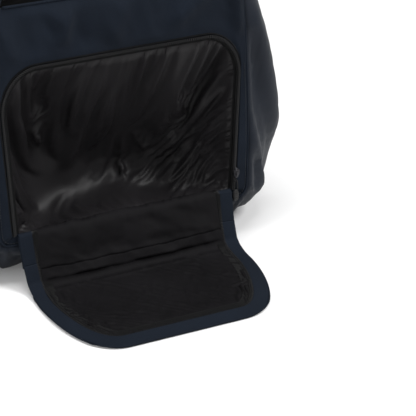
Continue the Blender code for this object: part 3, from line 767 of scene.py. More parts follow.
panel = lid_panel(90, 44)
x, z = panel[..., 0], panel[..., 2]
u, v = steps(0, 90, 44)
edge = smooth(np.minimum(u, 1 - u) * 8) * smooth(np.minimum(v, 1 - v) * 6)
pulled = folds(x, z, (((-0.09, 0.345), (-0.03, 0.40), 11, 2), ((0.09, 0.34), (0.05, 0.41), 12, 2)))
soft = cloud(x, z, 12, 21) * 2.2 * MM + cloud(x * 0.6, z, 32, 22, ridged=True) * 0.5 * MM
panel[..., 1] -= edge * (2.2 * MM + soft + pulled)
lid_cloth = fitted(cloth("lid_cloth", panel, navy, out=(0, 0, 0.3)), "lid", "navy_fabric")

# ---------------------------------------------------------------- shoe compartment zip
TAPE_DEPTH = 0.45 * MM
CORD = round_section(0.8 * MM, 0.8 * MM, 8)

mouth = on_front(even(chain_path(), 260))
across, _ = frames(mouth, OUT)
webbed(sweep("zip_tape_shoe", mouth + BACK * 2 * MM, across, OUT, flat_section(5.2 * MM, TAPE_DEPTH), tape), "bag")
shoe_coil = teeth("zip_coil_shoe", mouth + OUT * 0.9 * MM, across, OUT,
                  pitch=2.1 * MM, long=3.4 * MM, wide=1.45 * MM, deep=2.4 * MM, slant=1.6 * MM)
fitted(shoe_coil, "bag", "zip_coil", "shoe_chain")
webbed(sweep("zip_cord_shoe", mouth + across * 1.9 * MM + OUT * 0.1 * MM, across, OUT, CORD, tape), "bag")
# a black cord laid on the cloth's edge just outside the coil: painted shadow, the dark line of the coil's shade on
# the cloth
lip = on_front(even(chain_path(-2.9 * MM), 240), 0.1 * MM)
webbed(sweep("mouth_shadow_line", lip, frames(lip, OUT)[0], OUT, round_section(0.9 * MM, 0.7 * MM, 10), tape), "bag")

# ---------------------------------------------------------------- front pocket zip
POCKET_COUNT, BINDING_HALF = 60, 0.121
t = np.linspace(-1, 1, POCKET_COUNT)
row = np.stack([t * POCKET_ZIP_HALF, np.full(POCKET_COUNT, POCKET_ZIP_Z)], 1)
pocket_line = on_front(row, -1.6 * MM)
tape_row = on_front(row * (1 + 6 * MM / POCKET_ZIP_HALF, 1), -3.2 * MM)
webbed(sweep("pocket_tape", tape_row, UP, OUT, flat_section(14.0 * MM, 0.5 * MM), tape), "lid")
halves = [teeth("half", pocket_line + UP * s * 1.3 * MM, UP, OUT, long=2.6 * MM) for s in (-1, 1)]
fitted(joined("pocket_coil", halves), "lid", "zip_coil", "pocket_chain")
for side, edge_z, sag in (("low", CLOTH_LINE, 1.2 * MM), ("high", 2 * POCKET_ZIP_Z - CLOTH_LINE, 0)):
    at = on_front(np.stack([t * BINDING_HALF, edge_z - sag * (1 - t**2)], 1), 0.2 * MM)
    edge = sweep(f"pocket_{side}_binding", at, UP, OUT, round_section(1.5 * MM, 1.2 * MM, 10), navy)
    fitted(edge, "lid", "navy_fabric")


# ---------------------------------------------------------------- sliders and pulls
PULL_WIDE, PULL_LONG, GRIP_HALF = 6.5 * MM, 25 * MM, 1.15 * MM


def slider(name, place, ahead, up, wide, long, deep):
    """A zip slider: two wings, the post between them and the bail that holds the pull."""
    side = np.cross(up, ahead)
    t = np.linspace(-0.5, 0.5, 13)
    ends = np.sqrt(np.clip(1 - (np.abs(t) * 2) ** 6, 0.05, 1))
    scale = np.stack([(0.78 + 0.22 * np.cos((t + 0.12) * 4.2)) * ends, 0.55 + 0.45 * ends], 1)
    path = place + t[:, None] * ahead * long
    parts = []
    for lift, thick in ((0.30, 0.20), (-0.30, 0.16)):
        plate = soft_section(wide / 2, deep * thick, 3.2, 20)
        parts.append(sweep("wing", path + up * deep * lift, side, up, plate, gunmetal, scale))
    post = place + ahead * long * 0.28 + up * deep * np.linspace(-0.35, 0.35, 4)[:, None]
    parts.append(sweep("post", post, side, ahead, soft_section(wide * 0.16, long * 0.12, 3, 12), gunmetal))
    turn = np.linspace(0, np.pi, 17)[:, None]
    arch = place + ahead * long * 0.34 * np.cos(turn) + up * deep * (0.40 + 0.34 * np.sin(turn))
    wire = soft_section(wide * 0.07, wide * 0.15, 3, 12)
    parts.append(sweep("bail", arch, *frames(arch, side), wire, gunmetal))
    return joined(name, parts)


def cord_pull(name, eye, ahead, up):
    """A loop of cord through the slider's bail, its ends moulded into a small grip."""
    side = np.cross(up, ahead)
    turn = np.linspace(0, 2 * np.pi, 41)[:, None]
    stretch = np.sign(np.cos(turn)) * np.abs(np.cos(turn)) ** 0.8
    loop = eye + ahead * (PULL_LONG * 0.30 * (1 - stretch)) + side * (PULL_WIDE * 0.30 * np.sin(turn))
    beside, above = frames(loop, up)
    cord = round_section(0.75 * MM, 0.75 * MM, 10)
    parts = [sweep("loop", loop[:-1], beside[:-1], above[:-1], cord, webbing, closed=True)]
    t = np.linspace(0, 1, 14)
    body = eye + ahead * (PULL_LONG * (0.46 + 0.54 * t))[:, None]
    shape = np.sqrt(np.clip(1 - (2 * t - 1) ** 6, 0.06, 1)) * (0.82 + 0.18 * np.sin(t * 3.1))
    grip = soft_section(PULL_WIDE / 2, GRIP_HALF, 3.2, 20)
    parts.append(sweep("grip", body, side, up, grip, moulded, np.stack([shape, shape], 1)))
    for k in range(4):
        rib = eye + ahead * PULL_LONG * (0.60 + 0.09 * k) + up * GRIP_HALF
        rib = rib + side * np.linspace(-0.38, 0.38, 5)[:, None] * PULL_WIDE
        parts.append(sweep("rib", rib, ahead, up, round_section(0.35 * MM, 0.30 * MM, 8), moulded))
    return joined(name, parts)


def slider_and_pull(zip_name, ahead, up, hang, size=(8 * MM, 13 * MM, 4 * MM), side="", lift=0.0):
    """A zip's slider and the pull that hangs from it, where their CAD pieces stand."""
    tail, lead = (f"_{side}", f"{side}_") if side else ("", "")
    place, _ = middle_of(f"{zip_name}_slider{tail}")
    fitted(slider(f"{zip_name}_slider_metal{tail}", place, ahead, up, *size),
           f"{lead}{zip_name}_slider_body", "dark_metal", f"{zip_name}_slider{tail}")
    middle, half = middle_of(f"{zip_name}_pull{tail}")
    eye = middle - hang * (np.abs(hang) @ half + 1.5 * MM) + up * lift
    fitted(cord_pull(f"{zip_name}_pull_cord{tail}", eye, hang, up),
           f"{lead}{zip_name}_pull_body", "dark_metal", f"{zip_name}_pull{tail}")


run_x, run_z = unit(np.array([CHAIN_HALF, CHAIN_SHOULDER]) - (CHAIN_LOW, HINGE_Z + 3 * MM))
slider_and_pull("shoe", np.array([-run_x, 0, -run_z]), OUT, -UP, (7 * MM, 11 * MM, 3.8 * MM))
slider_and_pull("pocket", ACROSS, OUT, -UP)

# ---------------------------------------------------------------- shoe compartment lining
LIP_Z = HINGE_Z + 2.5 * MM
LINING_U, LINING_V = 104, 78
LINING_FOLDS = (((-0.112, 0.215), (-0.060, 0.130), 8, 14), ((-0.108, 0.225), (-0.010, 0.100), 10, 12),
                ((-0.050, 0.230), (-0.065, 0.120), 9, 10), ((0.010, 0.230), (-0.020, 0.160), 8, 9),
                ((0.020, 0.170), (0.026, 0.080), 8, 12), ((0.060, 0.225), (0.075, 0.110), 12, 12),
                ((0.118, 0.210), (0.085, 0.085), 8, 12), ((0.120, 0.180), (0.105, 0.080), 6, 10),
                ((-0.115, 0.150), (-0.085, 0.075), 8, 10))


def filled(rim, split, count_u, count_v):
    """A grid inside a rim whose two ends are joined by a straight line; split is the point of its left corner."""
    left, crown, right = rim[:split + 1], rim[split:-split], rim[-split - 1:][::-1]
    return coons(left, right, np.array([left[0], right[0]]), crown, count_u, count_v)


def lining_sack():
    """The lining before it settles: a slack bowl held all round the mouth."""
    rim = chain_path(2.0 * MM)
    rim = rim[rim[:, 1] > LIP_Z]
    split = int(np.argmin(np.abs(rim[:, 0] + 0.116) + 2 * np.abs(rim[:, 1] - 0.222)))
    x, z = np.moveaxis(filled(rim, split, LINING_U, LINING_V), 2, 0)
    u, v = steps(-1, LINING_U, LINING_V)
    bowl = (1 - u**4) ** 0.6 * (1 - v**4) ** 0.6
    rise = cloud(x, z, 16, 31) * 12 * MM * bowl - 5 * MM * bowl - folds(x, z, LINING_FOLDS) * (1 - u**8)
    return np.stack([x * (1 + 0.06 * bowl), FRONT_Y + 1.5 * MM + 0.066 * bowl + rise, z - 0.016 * bowl], 2)


x, depth = np.meshgrid(np.linspace(-0.16, 0.16, 5), np.linspace(0, 0.14, 4), indexing="ij")
floor_wall = np.stack([x, depth - 0.12, 0 * x + 0.022], 2)
rear_block = np.stack([x, 0 * x - 0.010, 0.01 + depth * 2], 2)
sack = settle(lining_sack(), 0.09, 45, bending=0.5, stiffness=6.0, walls=[floor_wall, rear_block], lean=33)
sack = np.clip(sack, (-0.140, FRONT_Y + 1.5 * MM, 0.017), (0.140, 0.012, 0.250))
shoe_lining = cloth("shoe_lining_cloth", sack, lining, thickness=0.5 * MM, out=(0, 0.3, 0.1))
fitted(shoe_lining, "bag", "black_lining", "shoe_liner")

# ---------------------------------------------------------------- flap and its hinge strip
MID, STRIP_END = 0.55, 0.97  # where the strip's two pieces meet, and where it runs out on the flap
FLAT_Z = 4.3 * MM  # height of the strip's fold on the floor
STRIP_PATH = even([(FRONT_Y + 2.5 * MM, HINGE_Z + 2.4 * MM), (HINGE_Y - 0.5 * MM, HINGE_Z + 1.5 * MM),
                   (HINGE_Y - 2.0 * MM, HINGE_Z - 4 * MM), (HINGE_Y - 9 * MM, 0.026), (FLAP_Y + 2.5 * MM, 0.0085),
                   (FLAP_Y - 6 * MM, FLAT_Z)], 60)


def drop(t):
    """(y, z) of the strip from the mouth's lower lip (0) down to the fold on the floor (1)."""
    return np.stack([np.interp(t, np.linspace(0, 1, 60), c) for c in STRIP_PATH.T], -1)


def strip_half(t):
    """Half the strip's width: as wide as the mouth at its lip, and as the flap at its fold."""
    return 0.1195 - 1.5 * MM * smooth(t)


def hinge_grid(count_u, t_high, count_v, lift):
    t = np.linspace(0.0, t_high, count_v)
    yz = drop(t)
    ahead = unit(np.gradient(yz, axis=0))
    yz = yz + np.stack([ahead[:, 1], -ahead[:, 0]], 1) * lift
    x = np.linspace(-1, 1, count_u)[:, None] * strip_half(t)[None]
    return np.stack([x, yz[:, 0] + 0 * x, yz[:, 1] + 0 * x], 2)


def bend_over_lip(obj, slot, *nodes):
    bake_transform(obj)
    return named(obj, slot, *nodes)


def bend_on_floor(obj, slot, *nodes):
    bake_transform(obj)
    return named(obj, slot, *nodes)


strip_outer = hinge_grid(80, MID + 0.04, 22, -0.6 * MM)
strip_outer[:, -2:, 1:] += np.array([0.4 * MM, -0.4 * MM])
strip_cloth = cloth("hinge_strip_cloth", strip_outer, navy, thickness=1.0 * MM, out=(0, 0.5, 0.0))
bend_over_lip(strip_cloth, "navy_fabric", "flap_hinge_panel")


def flap_plane(inset, count_u, count_v, t_start, drop_rows):
    """A grid over the hinge strip from t_start on, and over the flap to its far edge, held in by inset."""
    rim = flap_outline(inset)
    rim = rim[rim[:, 1] < FLAP_Y - 10 * MM]
    far = FLAP_Y - FLAP_REACH + inset
    split = int(np.argmin(np.abs(rim[:, 0] + 0.103 - inset) + np.abs(rim[:, 1] - far - 18 * MM)))
    flat = filled(rim, split, count_u, count_v)
    lower = np.concatenate([flat, np.zeros((count_u, count_v, 1))], 2)
    t = np.linspace(t_start, STRIP_END, drop_rows)
    yz = drop(t)
    half = np.interp(t, [0.0, 1.0], [strip_half(0.0) - inset, abs(rim[0, 0])])
    x = np.linspace(-1, 1, count_u)[:, None] * half[None]
    return np.concatenate([np.stack([x, yz[:, 0] + 0 * x, yz[:, 1] + 0 * x], 2), lower], 1)


def lie(grid, first, height):
    """Lets the flap's lower part run out flat at a height above the floor."""
    flat = smooth((FLAP_Y + 1 * MM - grid[..., 1]) / 0.022)
    low = grid[..., 2].copy()
    low[:, first:] = drop(STRIP_END)[1]
    grid[..., 2] = low * (1 - flat) + flat * height
    return grid


RIM_CURL = 1.6 * MM
base = lie(flap_plane(0.0, 120, 60, MID, 14), 14, 0.9 * MM)
u, v = np.linspace(-1, 1, 120)[:, None], np.linspace(0, 1, base.shape[1])[None]
curl = smooth(1 - np.minimum((1 - np.abs(u)) * 0.115, (1 - v) * 0.16) / 0.010)
wave = 0.6 + 0.8 * np.abs(cloud(base[..., 0], base[..., 1], 14, 51))
base[..., 2] += curl * RIM_CURL * wave * smooth((FLAP_Y - base[..., 1]) / 0.03)
flap_cloth = cloth("flap_outer_cloth", base, navy, thickness=0.8 * MM, out=(0, -0.2, -1.0))
bend_on_floor(flap_cloth, "navy_fabric", "flap_shell")

INNER_ROWS, INNER_SIDE = 26, (0, 0.3, -0.3)
inner = lie(flap_plane(16 * MM, 110, 60, 0.0, INNER_ROWS), INNER_ROWS, 2.2 * MM)
inner[:, :INNER_ROWS] += (0, -0.4 * MM, 0.6 * MM)
rest = inner.copy()
x, y, z = np.moveaxis(rest, 2, 0)
u, v = np.linspace(-1, 1, 110)[:, None], np.linspace(0, 1, inner.shape[1])[None]
edge = smooth((1 - np.abs(u)) * 9) * smooth((1 - v) * 9) * smooth(v * 12)
edge = edge * (0.45 + 0.55 * smooth((FLAP_Y + 8 * MM - y) / 0.02))
inner[..., 2] += edge * (1.2 * MM + np.abs(cloud(x, y, 26, 61)) * 5 * MM
                         + cloud(x * 0.7 + y * 0.3, y, 60, 62, ridged=True) * 1.3 * MM)
ground = np.stack([floor_wall[..., 0], floor_wall[..., 1] * 1.6 - 0.10, np.full((5, 4), 0.4 * MM)], 2)
slope = hinge_grid(14, STRIP_END, 24, 0.2 * MM) * (1.12, 1, 1)
loose = settle(inner, 0.04, 26, gravity=0.5, bending=0.12, stiffness=6.0, walls=[ground, slope])
n = normals(rest, INNER_SIDE)
proud = ((loose - rest) * n).sum(2)
crumple = smooth((z - 5 * MM) / 0.006) * smooth((1 - np.abs(u)) * 7)
crumple = crumple * (1.6 * MM + cloud(x * 0.8 + y * 0.5, z, 30, 63) * 2.6 * MM
                     + np.maximum(0, cloud(x * 0.7, z + x * 0.3, 44, 64, ridged=True)) * 1.5 * MM)
least = 0.25 * MM + 0.3 * MM * (z > 8 * MM) + np.maximum(0, crumple)
loose = loose + n * np.maximum(0, least - proud)[..., None]
loose[..., 2] = np.maximum(loose[..., 2], 1.8 * MM)
cut = int(round(MID / STRIP_END * (INNER_ROWS - 1)))
strip_lining = cloth("hinge_strip_lining", loose[:, :cut + 4], flap_inner, thickness=0.5 * MM, out=INNER_SIDE)
bend_over_lip(strip_lining, "black_lining")
lower = loose[:, cut:].copy()
lower[:, :3] -= normals(lower, INNER_SIDE)[:, :3] * np.array([1.1, 0.9, 0.5])[None, :, None] * MM
flap_lining = cloth("flap_lining_cloth", lower, flap_inner, thickness=0.5 * MM, out=(0, -0.2, -1.0))
bend_on_floor(flap_lining, "black_lining", "flap_lining")


def rim_path(inset, height):
    """Three lines round the flap, in from its edge: down the strip's left, round the flap, up its right."""
    t = np.linspace(0.03, STRIP_END, 40)
    yz = drop(t)
    rim = flap_outline(inset)
    rim = rim[rim[:, 1] < FLAP_Y - 10 * MM]
    x = np.interp(t, [0.0, 1.0], [strip_half(0.0) - inset, abs(rim[0, 0])])
    left = np.stack([-x, yz[:, 0], yz[:, 1]], 1)
    flat = np.concatenate([rim, np.full((len(rim), 1), yz[-1, 1])], 1)
    path = np.concatenate([left, flat, (left * (-1, 1, 1))[::-1]])
    sunk = smooth((FLAP_Y + 1 * MM - path[:, 1]) / 0.022)
    path[:, 2] = (path[:, 2] + 1.0 * MM) * (1 - sunk) + sunk * height
    path[:, 1] -= 0.8 * MM * (1 - sunk)
    turn = int(round(MID / STRIP_END * 39))
    return even(path[:turn + 1], 30), even(path[turn:-turn], 260), even(path[-turn - 1:], 30)


def edging(name, inset, height, slot, build, *nodes):
    """A band along the flap's edge: one piece on the flap, and one on the hinge strip for its two ends."""
    pieces = []
    for path in rim_path(inset, height):
        side, _ = frames(path, (0, -0.35, 1.0))
        up = square_to(path, side)
        pieces.append((path, side, np.where(up[:, 2:] < 0, -up, up)))
    left, middle, right = pieces
    bend_on_floor(build(name, *middle), slot, *nodes)
    bend_over_lip(joined(f"{name}_ends", [build(name, *piece) for piece in (left, right)]), slot)


def hem(name, path, side, up):
    puffed = [(1, 1 + 0.35 * noise.noise((k * 0.09, 3.3, 0))) for k in range(len(path))]
    return sweep(name, path, side, up, soft_section(7.6 * MM, 0.9 * MM, 3.5, 20), navy, puffed)


edging("flap_hem", 8.0 * MM, 2.6 * MM, "navy_fabric", hem)
edging("flap_tape", 19.5 * MM, 3.4 * MM, "black_webbing",
       lambda *at: sweep(*at, flat_section(5.4 * MM, 0.5 * MM), tape))
edging("flap_coil", 15.4 * MM, 3.9 * MM, "zip_coil", lambda *at: teeth(*at, long=2.8 * MM), "flap_chain")
edging("flap_cord", 17.3 * MM, 3.9 * MM, "black_webbing", lambda *at: sweep(*at, CORD, tape))

# ---------------------------------------------------------------- main zip, round the lid
ZIP_INSET = 0.6 * MM  # the zip lies this far inside the bag's outline


def main_zip(away, count=420):
    """One half of the main zip's middle line; away is how far it lies from the zip's middle, towards the lid."""
    z = LID_BOTTOM + away
    turn = np.radians(90) * np.arange(16) / 16
    foot = np.stack([SEAM_LID_HALF_WIDTH + (LID_HALF_WIDTH - SEAM_LID_HALF_WIDTH) * np.sin(turn) - ZIP_INSET,
                     FRONT_Y + ZIP_INSET + ROUNDING * (1 - np.cos(turn)), np.full(16, z)], 1)
    over = even(BAG_DOME, 160)
    over = over[over[:, 1] > z]
    rise = np.stack([over[:, 0] - ZIP_INSET, np.full(len(over), ZIP_Y - away),
                     over[:, 1] - ZIP_INSET * (over[:, 1] > 0.46)], 1)
    side = LID_HALF_WIDTH - ZIP_INSET
    bent = np.array([(side, ZIP_Y - 9 * MM, z), (side, ZIP_Y - 3 * MM - away, z + 0.8 * MM)])
    return even(mirrored(np.concatenate([foot, bent, rise[2:]])), count)


def away_from_bag(path):
    """Outward directions along the main zip, and the directions across it towards the lid."""
    out = path - UP * 0.24
    out[:, 1] *= smooth((0.300 - path[:, 2]) / 0.02)
    ahead = unit(np.gradient(path, axis=0))
    out -= (out * ahead).sum(1, keepdims=True) * ahead
    level = smooth((0.288 - path[:, 2]) / 0.008)[:, None] * smooth((ZIP_Y - 4 * MM - path[:, 1]) / 0.004)[:, None]
    toward = level * UP + (1 - level) * OUT
    out -= (out * toward).sum(1, keepdims=True) * toward
    return unit(out), toward


for name, away, body in (("lid", 1, "lid"), ("rear", -1, "bag")):
    at = main_zip(away * 1.55 * MM)
    out, toward = away_from_bag(at)
    chain = teeth(f"main_coil_{name}", at + out * 0.4 * MM, toward, out, long=2.9 * MM)
    fitted(chain, body, "zip_coil", f"main_chain_{name}")
    row = at + toward * away * 3.0 * MM - out * 1.2 * MM
    webbed(sweep(f"main_tape_{name}", row, toward, out, flat_section(4.2 * MM, TAPE_DEPTH), tape), body)
    row = at + toward * away * 2.9 * MM + out * 0.3 * MM
    edge = sweep(f"main_binding_{name}", row, toward, out, round_section(1.2 * MM, 1.0 * MM, 10), satin)
    fitted(edge, body, "satin_fabric")

for name, s in (("left", -1), ("right", 1)):
    slider_and_pull("main", s * ACROSS, UP, s * ACROSS, side=name, lift=0.5 * MM)

# ---------------------------------------------------------------- seams of the front
for name, path, body in (("tub", even(whole(SEAM_TUB), 260), "bag"), ("lid", even(dome_seam, 220), "lid")):
    at = on_front(path, 0.2 * MM)
    welt = sweep(f"seam_welt_{name}", at, frames(at, OUT)[0], OUT, round_section(1.1 * MM, 0.9 * MM, 10), navy)
    fitted(welt, body, "navy_fabric")
    inward = unit((UP * 0.24 - at) * (1, 0, 1))
    seam = stitches(f"seam_stitches_{name}", at + inward * 3.6 * MM + OUT * 1.0 * MM, OUT, thread)
    fitted(seam, body, "navy_fabric")


# ---------------------------------------------------------------- back panel, pads and straps
def back_outline(inset):
    around = np.concatenate([whole(BAG_TUB), mirrored(BAG_DOME)[1:-1]])
    centre = np.array([0, 0.25])
    reach = np.linalg.norm(around - centre, axis=1, keepdims=True)
    return centre + (around - centre) * (1 - inset / reach)


loop = back_outline(9 * MM)
corners = ((-0.150, 0.030), (0.150, 0.030), (0.110, 0.470), (-0.110, 0.470))
first, *ends = [int(np.abs(loop - at).sum(1).argmin()) for at in corners]
loop = np.roll(loop, -first, axis=0)
a, b, c = [(end - first) % len(loop) for end in ends]
left_edge = np.concatenate([loop[c:], loop[:1]])[::-1]
x, z = np.moveaxis(coons(left_edge, loop[a:b + 1], loop[:a + 1], loop[b:c + 1][::-1], 70, 90), 2, 0)
u, v = steps(-1, 70, 90)
puff = (1 - u**8) * (1 - v**8)
y = BACK_Y - 0.4 * MM - 1.6 * MM * (1 - puff) - np.abs(cloud(x, z, 16, 71)) * 0.8 * MM * puff
rear = np.stack([x, y, z], 2)
back_cloth = cloth("back_panel_cloth", rear, navy, thickness=2.0 * MM, out=(0, 0, 0.25))
fitted(back_cloth, "bag", "navy_fabric", "back_panel")
rim = np.stack([loop[:, 0], np.full(len(loop), BACK_Y - 1.4 * MM), loop[:, 1]], 1)
webbed(hoop("back_piping", rim, BACK, 320, round_section(2.0 * MM, 1.8 * MM), binding), "bag")


def cushion(node, channels):
    """A pad of foam under mesh: crowned, pinched at its bound edge and along its sewn channels."""
    (cx, _, cz), (hx, _, hz) = middle_of(node)
    (x0, y0, _), (_, y1, _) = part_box(node)
    u, v = steps(-1, 46, 100)
    x = cx + u * hx * (1 - 0.10 * np.abs(v) ** 10) * (1 - 0.018 * (1 - v**2))
    z = cz + v * hz * (1 - 0.05 * np.abs(u) ** 10)
    crown = (1 - np.abs(u) ** 4) ** 0.55 * (1 - np.abs(v) ** 12) ** 0.55
    for place in channels:
        crown = crown * (1 - 0.62 * np.exp(-(((z - place) / (3.2 * MM)) ** 2)))
    y = y0 + 0.9 * MM + (y1 - y0 - 1.0 * MM) * crown + cloud(x, z, 30, int(abs(x0) * 900)) * 0.7 * MM * crown
    front, under = np.stack([x, y, z], 2), np.stack([x, 0 * x + y0 + 0.2 * MM, z], 2)
    pad, rim = two_faced(f"{node}_mesh", front, under, np.stack([x, z], 2), air_mesh)
    fitted(pad, "bag", "air_mesh", node)
    border = front.reshape(-1, 3)[rim] + BACK * 0.2 * MM
    cord = soft_section(2.4 * MM, 1.1 * MM, 3, 14)
    webbed(hoop(f"{node}_mesh_binding", border, BACK, 240, cord, binding), "bag")
    for k, place in enumerate(channels):
        row = int(np.argmin(np.abs(z[23] - place)))
        seam = front[3:-3, row] + BACK * 0.1 * MM
        webbed(stitches(f"{node}_mesh_channel_{k}", seam, BACK, black_thread), "bag")


cushion("back_pad_left", (0.207, 0.259, 0.311, 0.363))
cushion("back_pad_right", (0.207, 0.259, 0.311, 0.363))
cushion("lumbar_pad", (0.100,))


def ribbon(name, path, up, half, depth):
    return sweep(name, path, ACROSS, up, flat_section(half, depth), webbing)


def sewn_patch(name, stitch_name, node, run, lift, count, margin, route):
    """A folded patch of webbing on its CAD piece, along one axis, sewn along a route given in half sizes."""
    middle, half = middle_of(node)
    along, up = np.eye(3)[[run, lift]]
    t = np.linspace(-1, 1, count)
    swell = np.sqrt(np.clip(1 - t**10, 0.15, 1))
    path = middle + along * half[run] * t[:, None]
    section, scale = soft_section(half[0], half[lift], 7, 28), np.stack([0.97 + 0.03 * swell, swell], 1)
    webbed(sweep(name, path, ACROSS, up, section, webbing, scale), "bag", node)
    face = middle + up * (half[lift] + 0.1 * MM)
    a, b = half[0] * margin[0], half[run] * margin[1]
    seam = np.array([face + ACROSS * a * p + along * b * q for p, q in route])
    webbed(stitches(stitch_name, seam, up, thread), "bag")


SQUARE = ((-1, -1), (1, -1), (1, 1), (-1, 1), (-1, -1))
BOX_AND_CROSS = (*SQUARE, (1, 1), (1, 1), (-1, 1), (1, -1))
STRAP_LINE = ((0.1335, 0.442), (0.1450, 0.430), (0.1530, 0.396), (0.1570, 0.340), (0.1580, 0.280),
              (0.1550, 0.220), (0.1490, 0.170))  # (y, z) from the upper anchor to the ladder lock
ROWS = 110

for name, s in (("left", -1), ("right", 1)):
    body = f"{name}_strap"
    points = np.array([(s * (STRAP_X + 10 * MM * i / 6), y, z) for i, (y, z) in enumerate(STRAP_LINE)])
    path = even(through(points, 5, 200), ROWS)
    up = square_to(path)
    t = np.linspace(-1, 1, ROWS)
    width = STRAP_HALF * (0.74 + 0.26 * (1 - t**2) ** 0.6)
    turn = 2 * np.pi * np.arange(40) / 40
    c, sn = np.cos(turn), np.sin(turn)
    section = np.stack([np.sign(c) * np.abs(c) ** 0.55, np.sign(sn) * np.abs(sn) ** 0.75], 1)
    thick = 0.5 * STRAP_DEPTH * (0.35 + 0.65 * (1 - t**8) ** 0.5)
    thick = thick * (1 - sum(0.22 * np.exp(-(((t - pinch) / 0.02) ** 2)) for pinch in (-0.35, 0.30)))
    strap = sweep(f"{name}_strap_padded", path, ACROSS, up, section, navy, np.stack([width, thick], 1))
    fitted(strap, body, "navy_fabric", f"{name}_shoulder_strap")
    under = path - up * (thick[:, None] * 0.78)
    size = np.stack([width * 0.80, thick * 0.26], 1)
    pad = soft_section(1, 1, 5)
    face = sweep(f"{name}_strap_mesh", under[3:-3], ACROSS, up[3:-3], pad, air_mesh, size[3:-3])
    fitted(face, body, "air_mesh")
    side = ACROSS * width[:, None]
    edges = even(np.concatenate([path + side, (path - side)[::-1]]), 260)
    ups = even(np.concatenate([up, up[::-1]]), 260)
    side, ups = frames(np.concatenate([edges, edges[:1]]), np.concatenate([ups, ups[:1]]))
    cord = soft_section(1.5 * MM, 2.6 * MM, 3, 14)
    webbed(sweep(f"{name}_strap_binding", edges, side[:-1], ups[:-1], cord, binding, closed=True), body)
    band = (path + up * (thick[:, None] + 0.2 * MM))[8:104]
    webbed(ribbon(f"{name}_strap_webbing", band, up[8:104], WEB_HALF, 0.8 * MM), body)

    # neck: the cloth between the upper anchor and the padding
    x, top_y, top_z = path[0]
    neck_line = even([(x, BACK_Y + 2.6 * MM, 0.456), (x, BACK_Y + 6.5 * MM, 0.456), (x, top_y - 4.5 * MM, 0.450),
                      (x, top_y + 0.4 * MM, top_z + 1.5 * MM), path[6]], 40)
    flat = soft_section(18 * MM, 1.2 * MM, 5, 28)
    neck = sweep(f"{name}_strap_neck", neck_line, ACROSS, square_to(neck_line), flat, navy)
    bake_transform(neck)
    named(neck, "navy_fabric")
    for k, at in enumerate((14, 60, 98)):
        row = ACROSS * np.linspace(-0.85, 0.85, 12)[:, None] * WEB_HALF
        tack = path[at] + up[at] * (thick[at] + 1.05 * MM) + row
        webbed(stitches(f"{name}_strap_tack_{k}", tack, up[at], thread), body)

    # webbing from the lower anchor up through the ladder lock, and back down to its tip
    x_foot, x = s * (STRAP_X + 30 * MM), s * (STRAP_X + 10 * MM)
    y = middle_of(f"{name}_ladder_lock")[0][1]
    route = np.array([(x_foot, BACK_Y + 4.6 * MM, 0.030), (x_foot, BACK_Y + 10 * MM, 0.038),
                      (x_foot - s * 3 * MM, BACK_Y + 17 * MM, 0.060), (x + s * 6 * MM, BACK_Y + 23 * MM, 0.095),
                      (x, BACK_Y + 27 * MM, 0.136)])
    over = [(x, y + 3.2 * MM, 0.1415), (x, y + 3.4 * MM, 0.1475), (x, y + 1.0 * MM, 0.1515),
            (x, y - 2.6 * MM, 0.1480), (x, y - 3.4 * MM, 0.1400), (x, y - 4.6 * MM, 0.1180),
            (x, y - 5.5 * MM, 0.0950)]
    web = even(np.concatenate([even(through(route, 4, 100), 60), over]), 150)
    web_up = square_to(web)
    ladder_web = ribbon(f"{name}_lower_web", web, web_up, WEB_HALF - 0.5 * MM, WEB_DEPTH / 2)
    webbed(ladder_web, body, f"{name}_lower_webbing")
    tip = web[-1] + UP * np.array([3, 1, 0, -2])[:, None] * MM
    fold = soft_section(WEB_HALF - 0.3 * MM, 1.5 * MM, 5, 16)
    webbed(sweep(f"{name}_web_tip", tip, ACROSS, web_up[-1], fold, webbing), body)
    link = even([path[-1] + up[-1] * 1.0 * MM + UP * 10 * MM, path[-1] + UP * 2 * MM, (x, y + 2.6 * MM, 0.1655),
                 (x, y + 2.8 * MM, 0.1610), (x, y, 0.1585), (x, y - 2.6 * MM, 0.1615), (x, y - 2.2 * MM, 0.1660),
                 path[-1] + (0, -1.5 * MM, 3 * MM)], 60)
    webbed(ribbon(f"{name}_lock_web", link, square_to(link), WEB_HALF - 0.5 * MM, 0.7 * MM), body)
    for part in ("lower", "strap"):
        sewn_patch(f"{name}_{part}_patch", f"{name}_{part}_box_stitch", f"{name}_{part}_anchor", 2, 1, 20,
                   (0.78, 0.70), BOX_AND_CROSS)

# ---------------------------------------------------------------- side seams between the lower and upper walls
for name, s in (("left", -1), ("right", 1)):
    y = np.linspace(ZIP_Y + 3.5 * MM, BACK_Y - 7.5 * MM, 60)
    at = np.stack([0 * y + s * (LID_HALF_WIDTH - 0.1 * MM), y, 0 * y + LID_BOTTOM - 3.0 * MM], 1)
    welt = sweep(f"{name}_side_welt", at, UP, s * ACROSS, round_section(1.4 * MM, 0.7 * MM, 10), satin)
    fitted(welt, "bag", "satin_fabric")
    for k, down in enumerate((-4.0 * MM, 4.0 * MM)):
        row = at + np.array([s * (0.9 * MM - 0.13 * down), 0, down])
        fitted(stitches(f"{name}_side_stitch_{k}", row, s * ACROSS, thread), "bag", "satin_fabric")

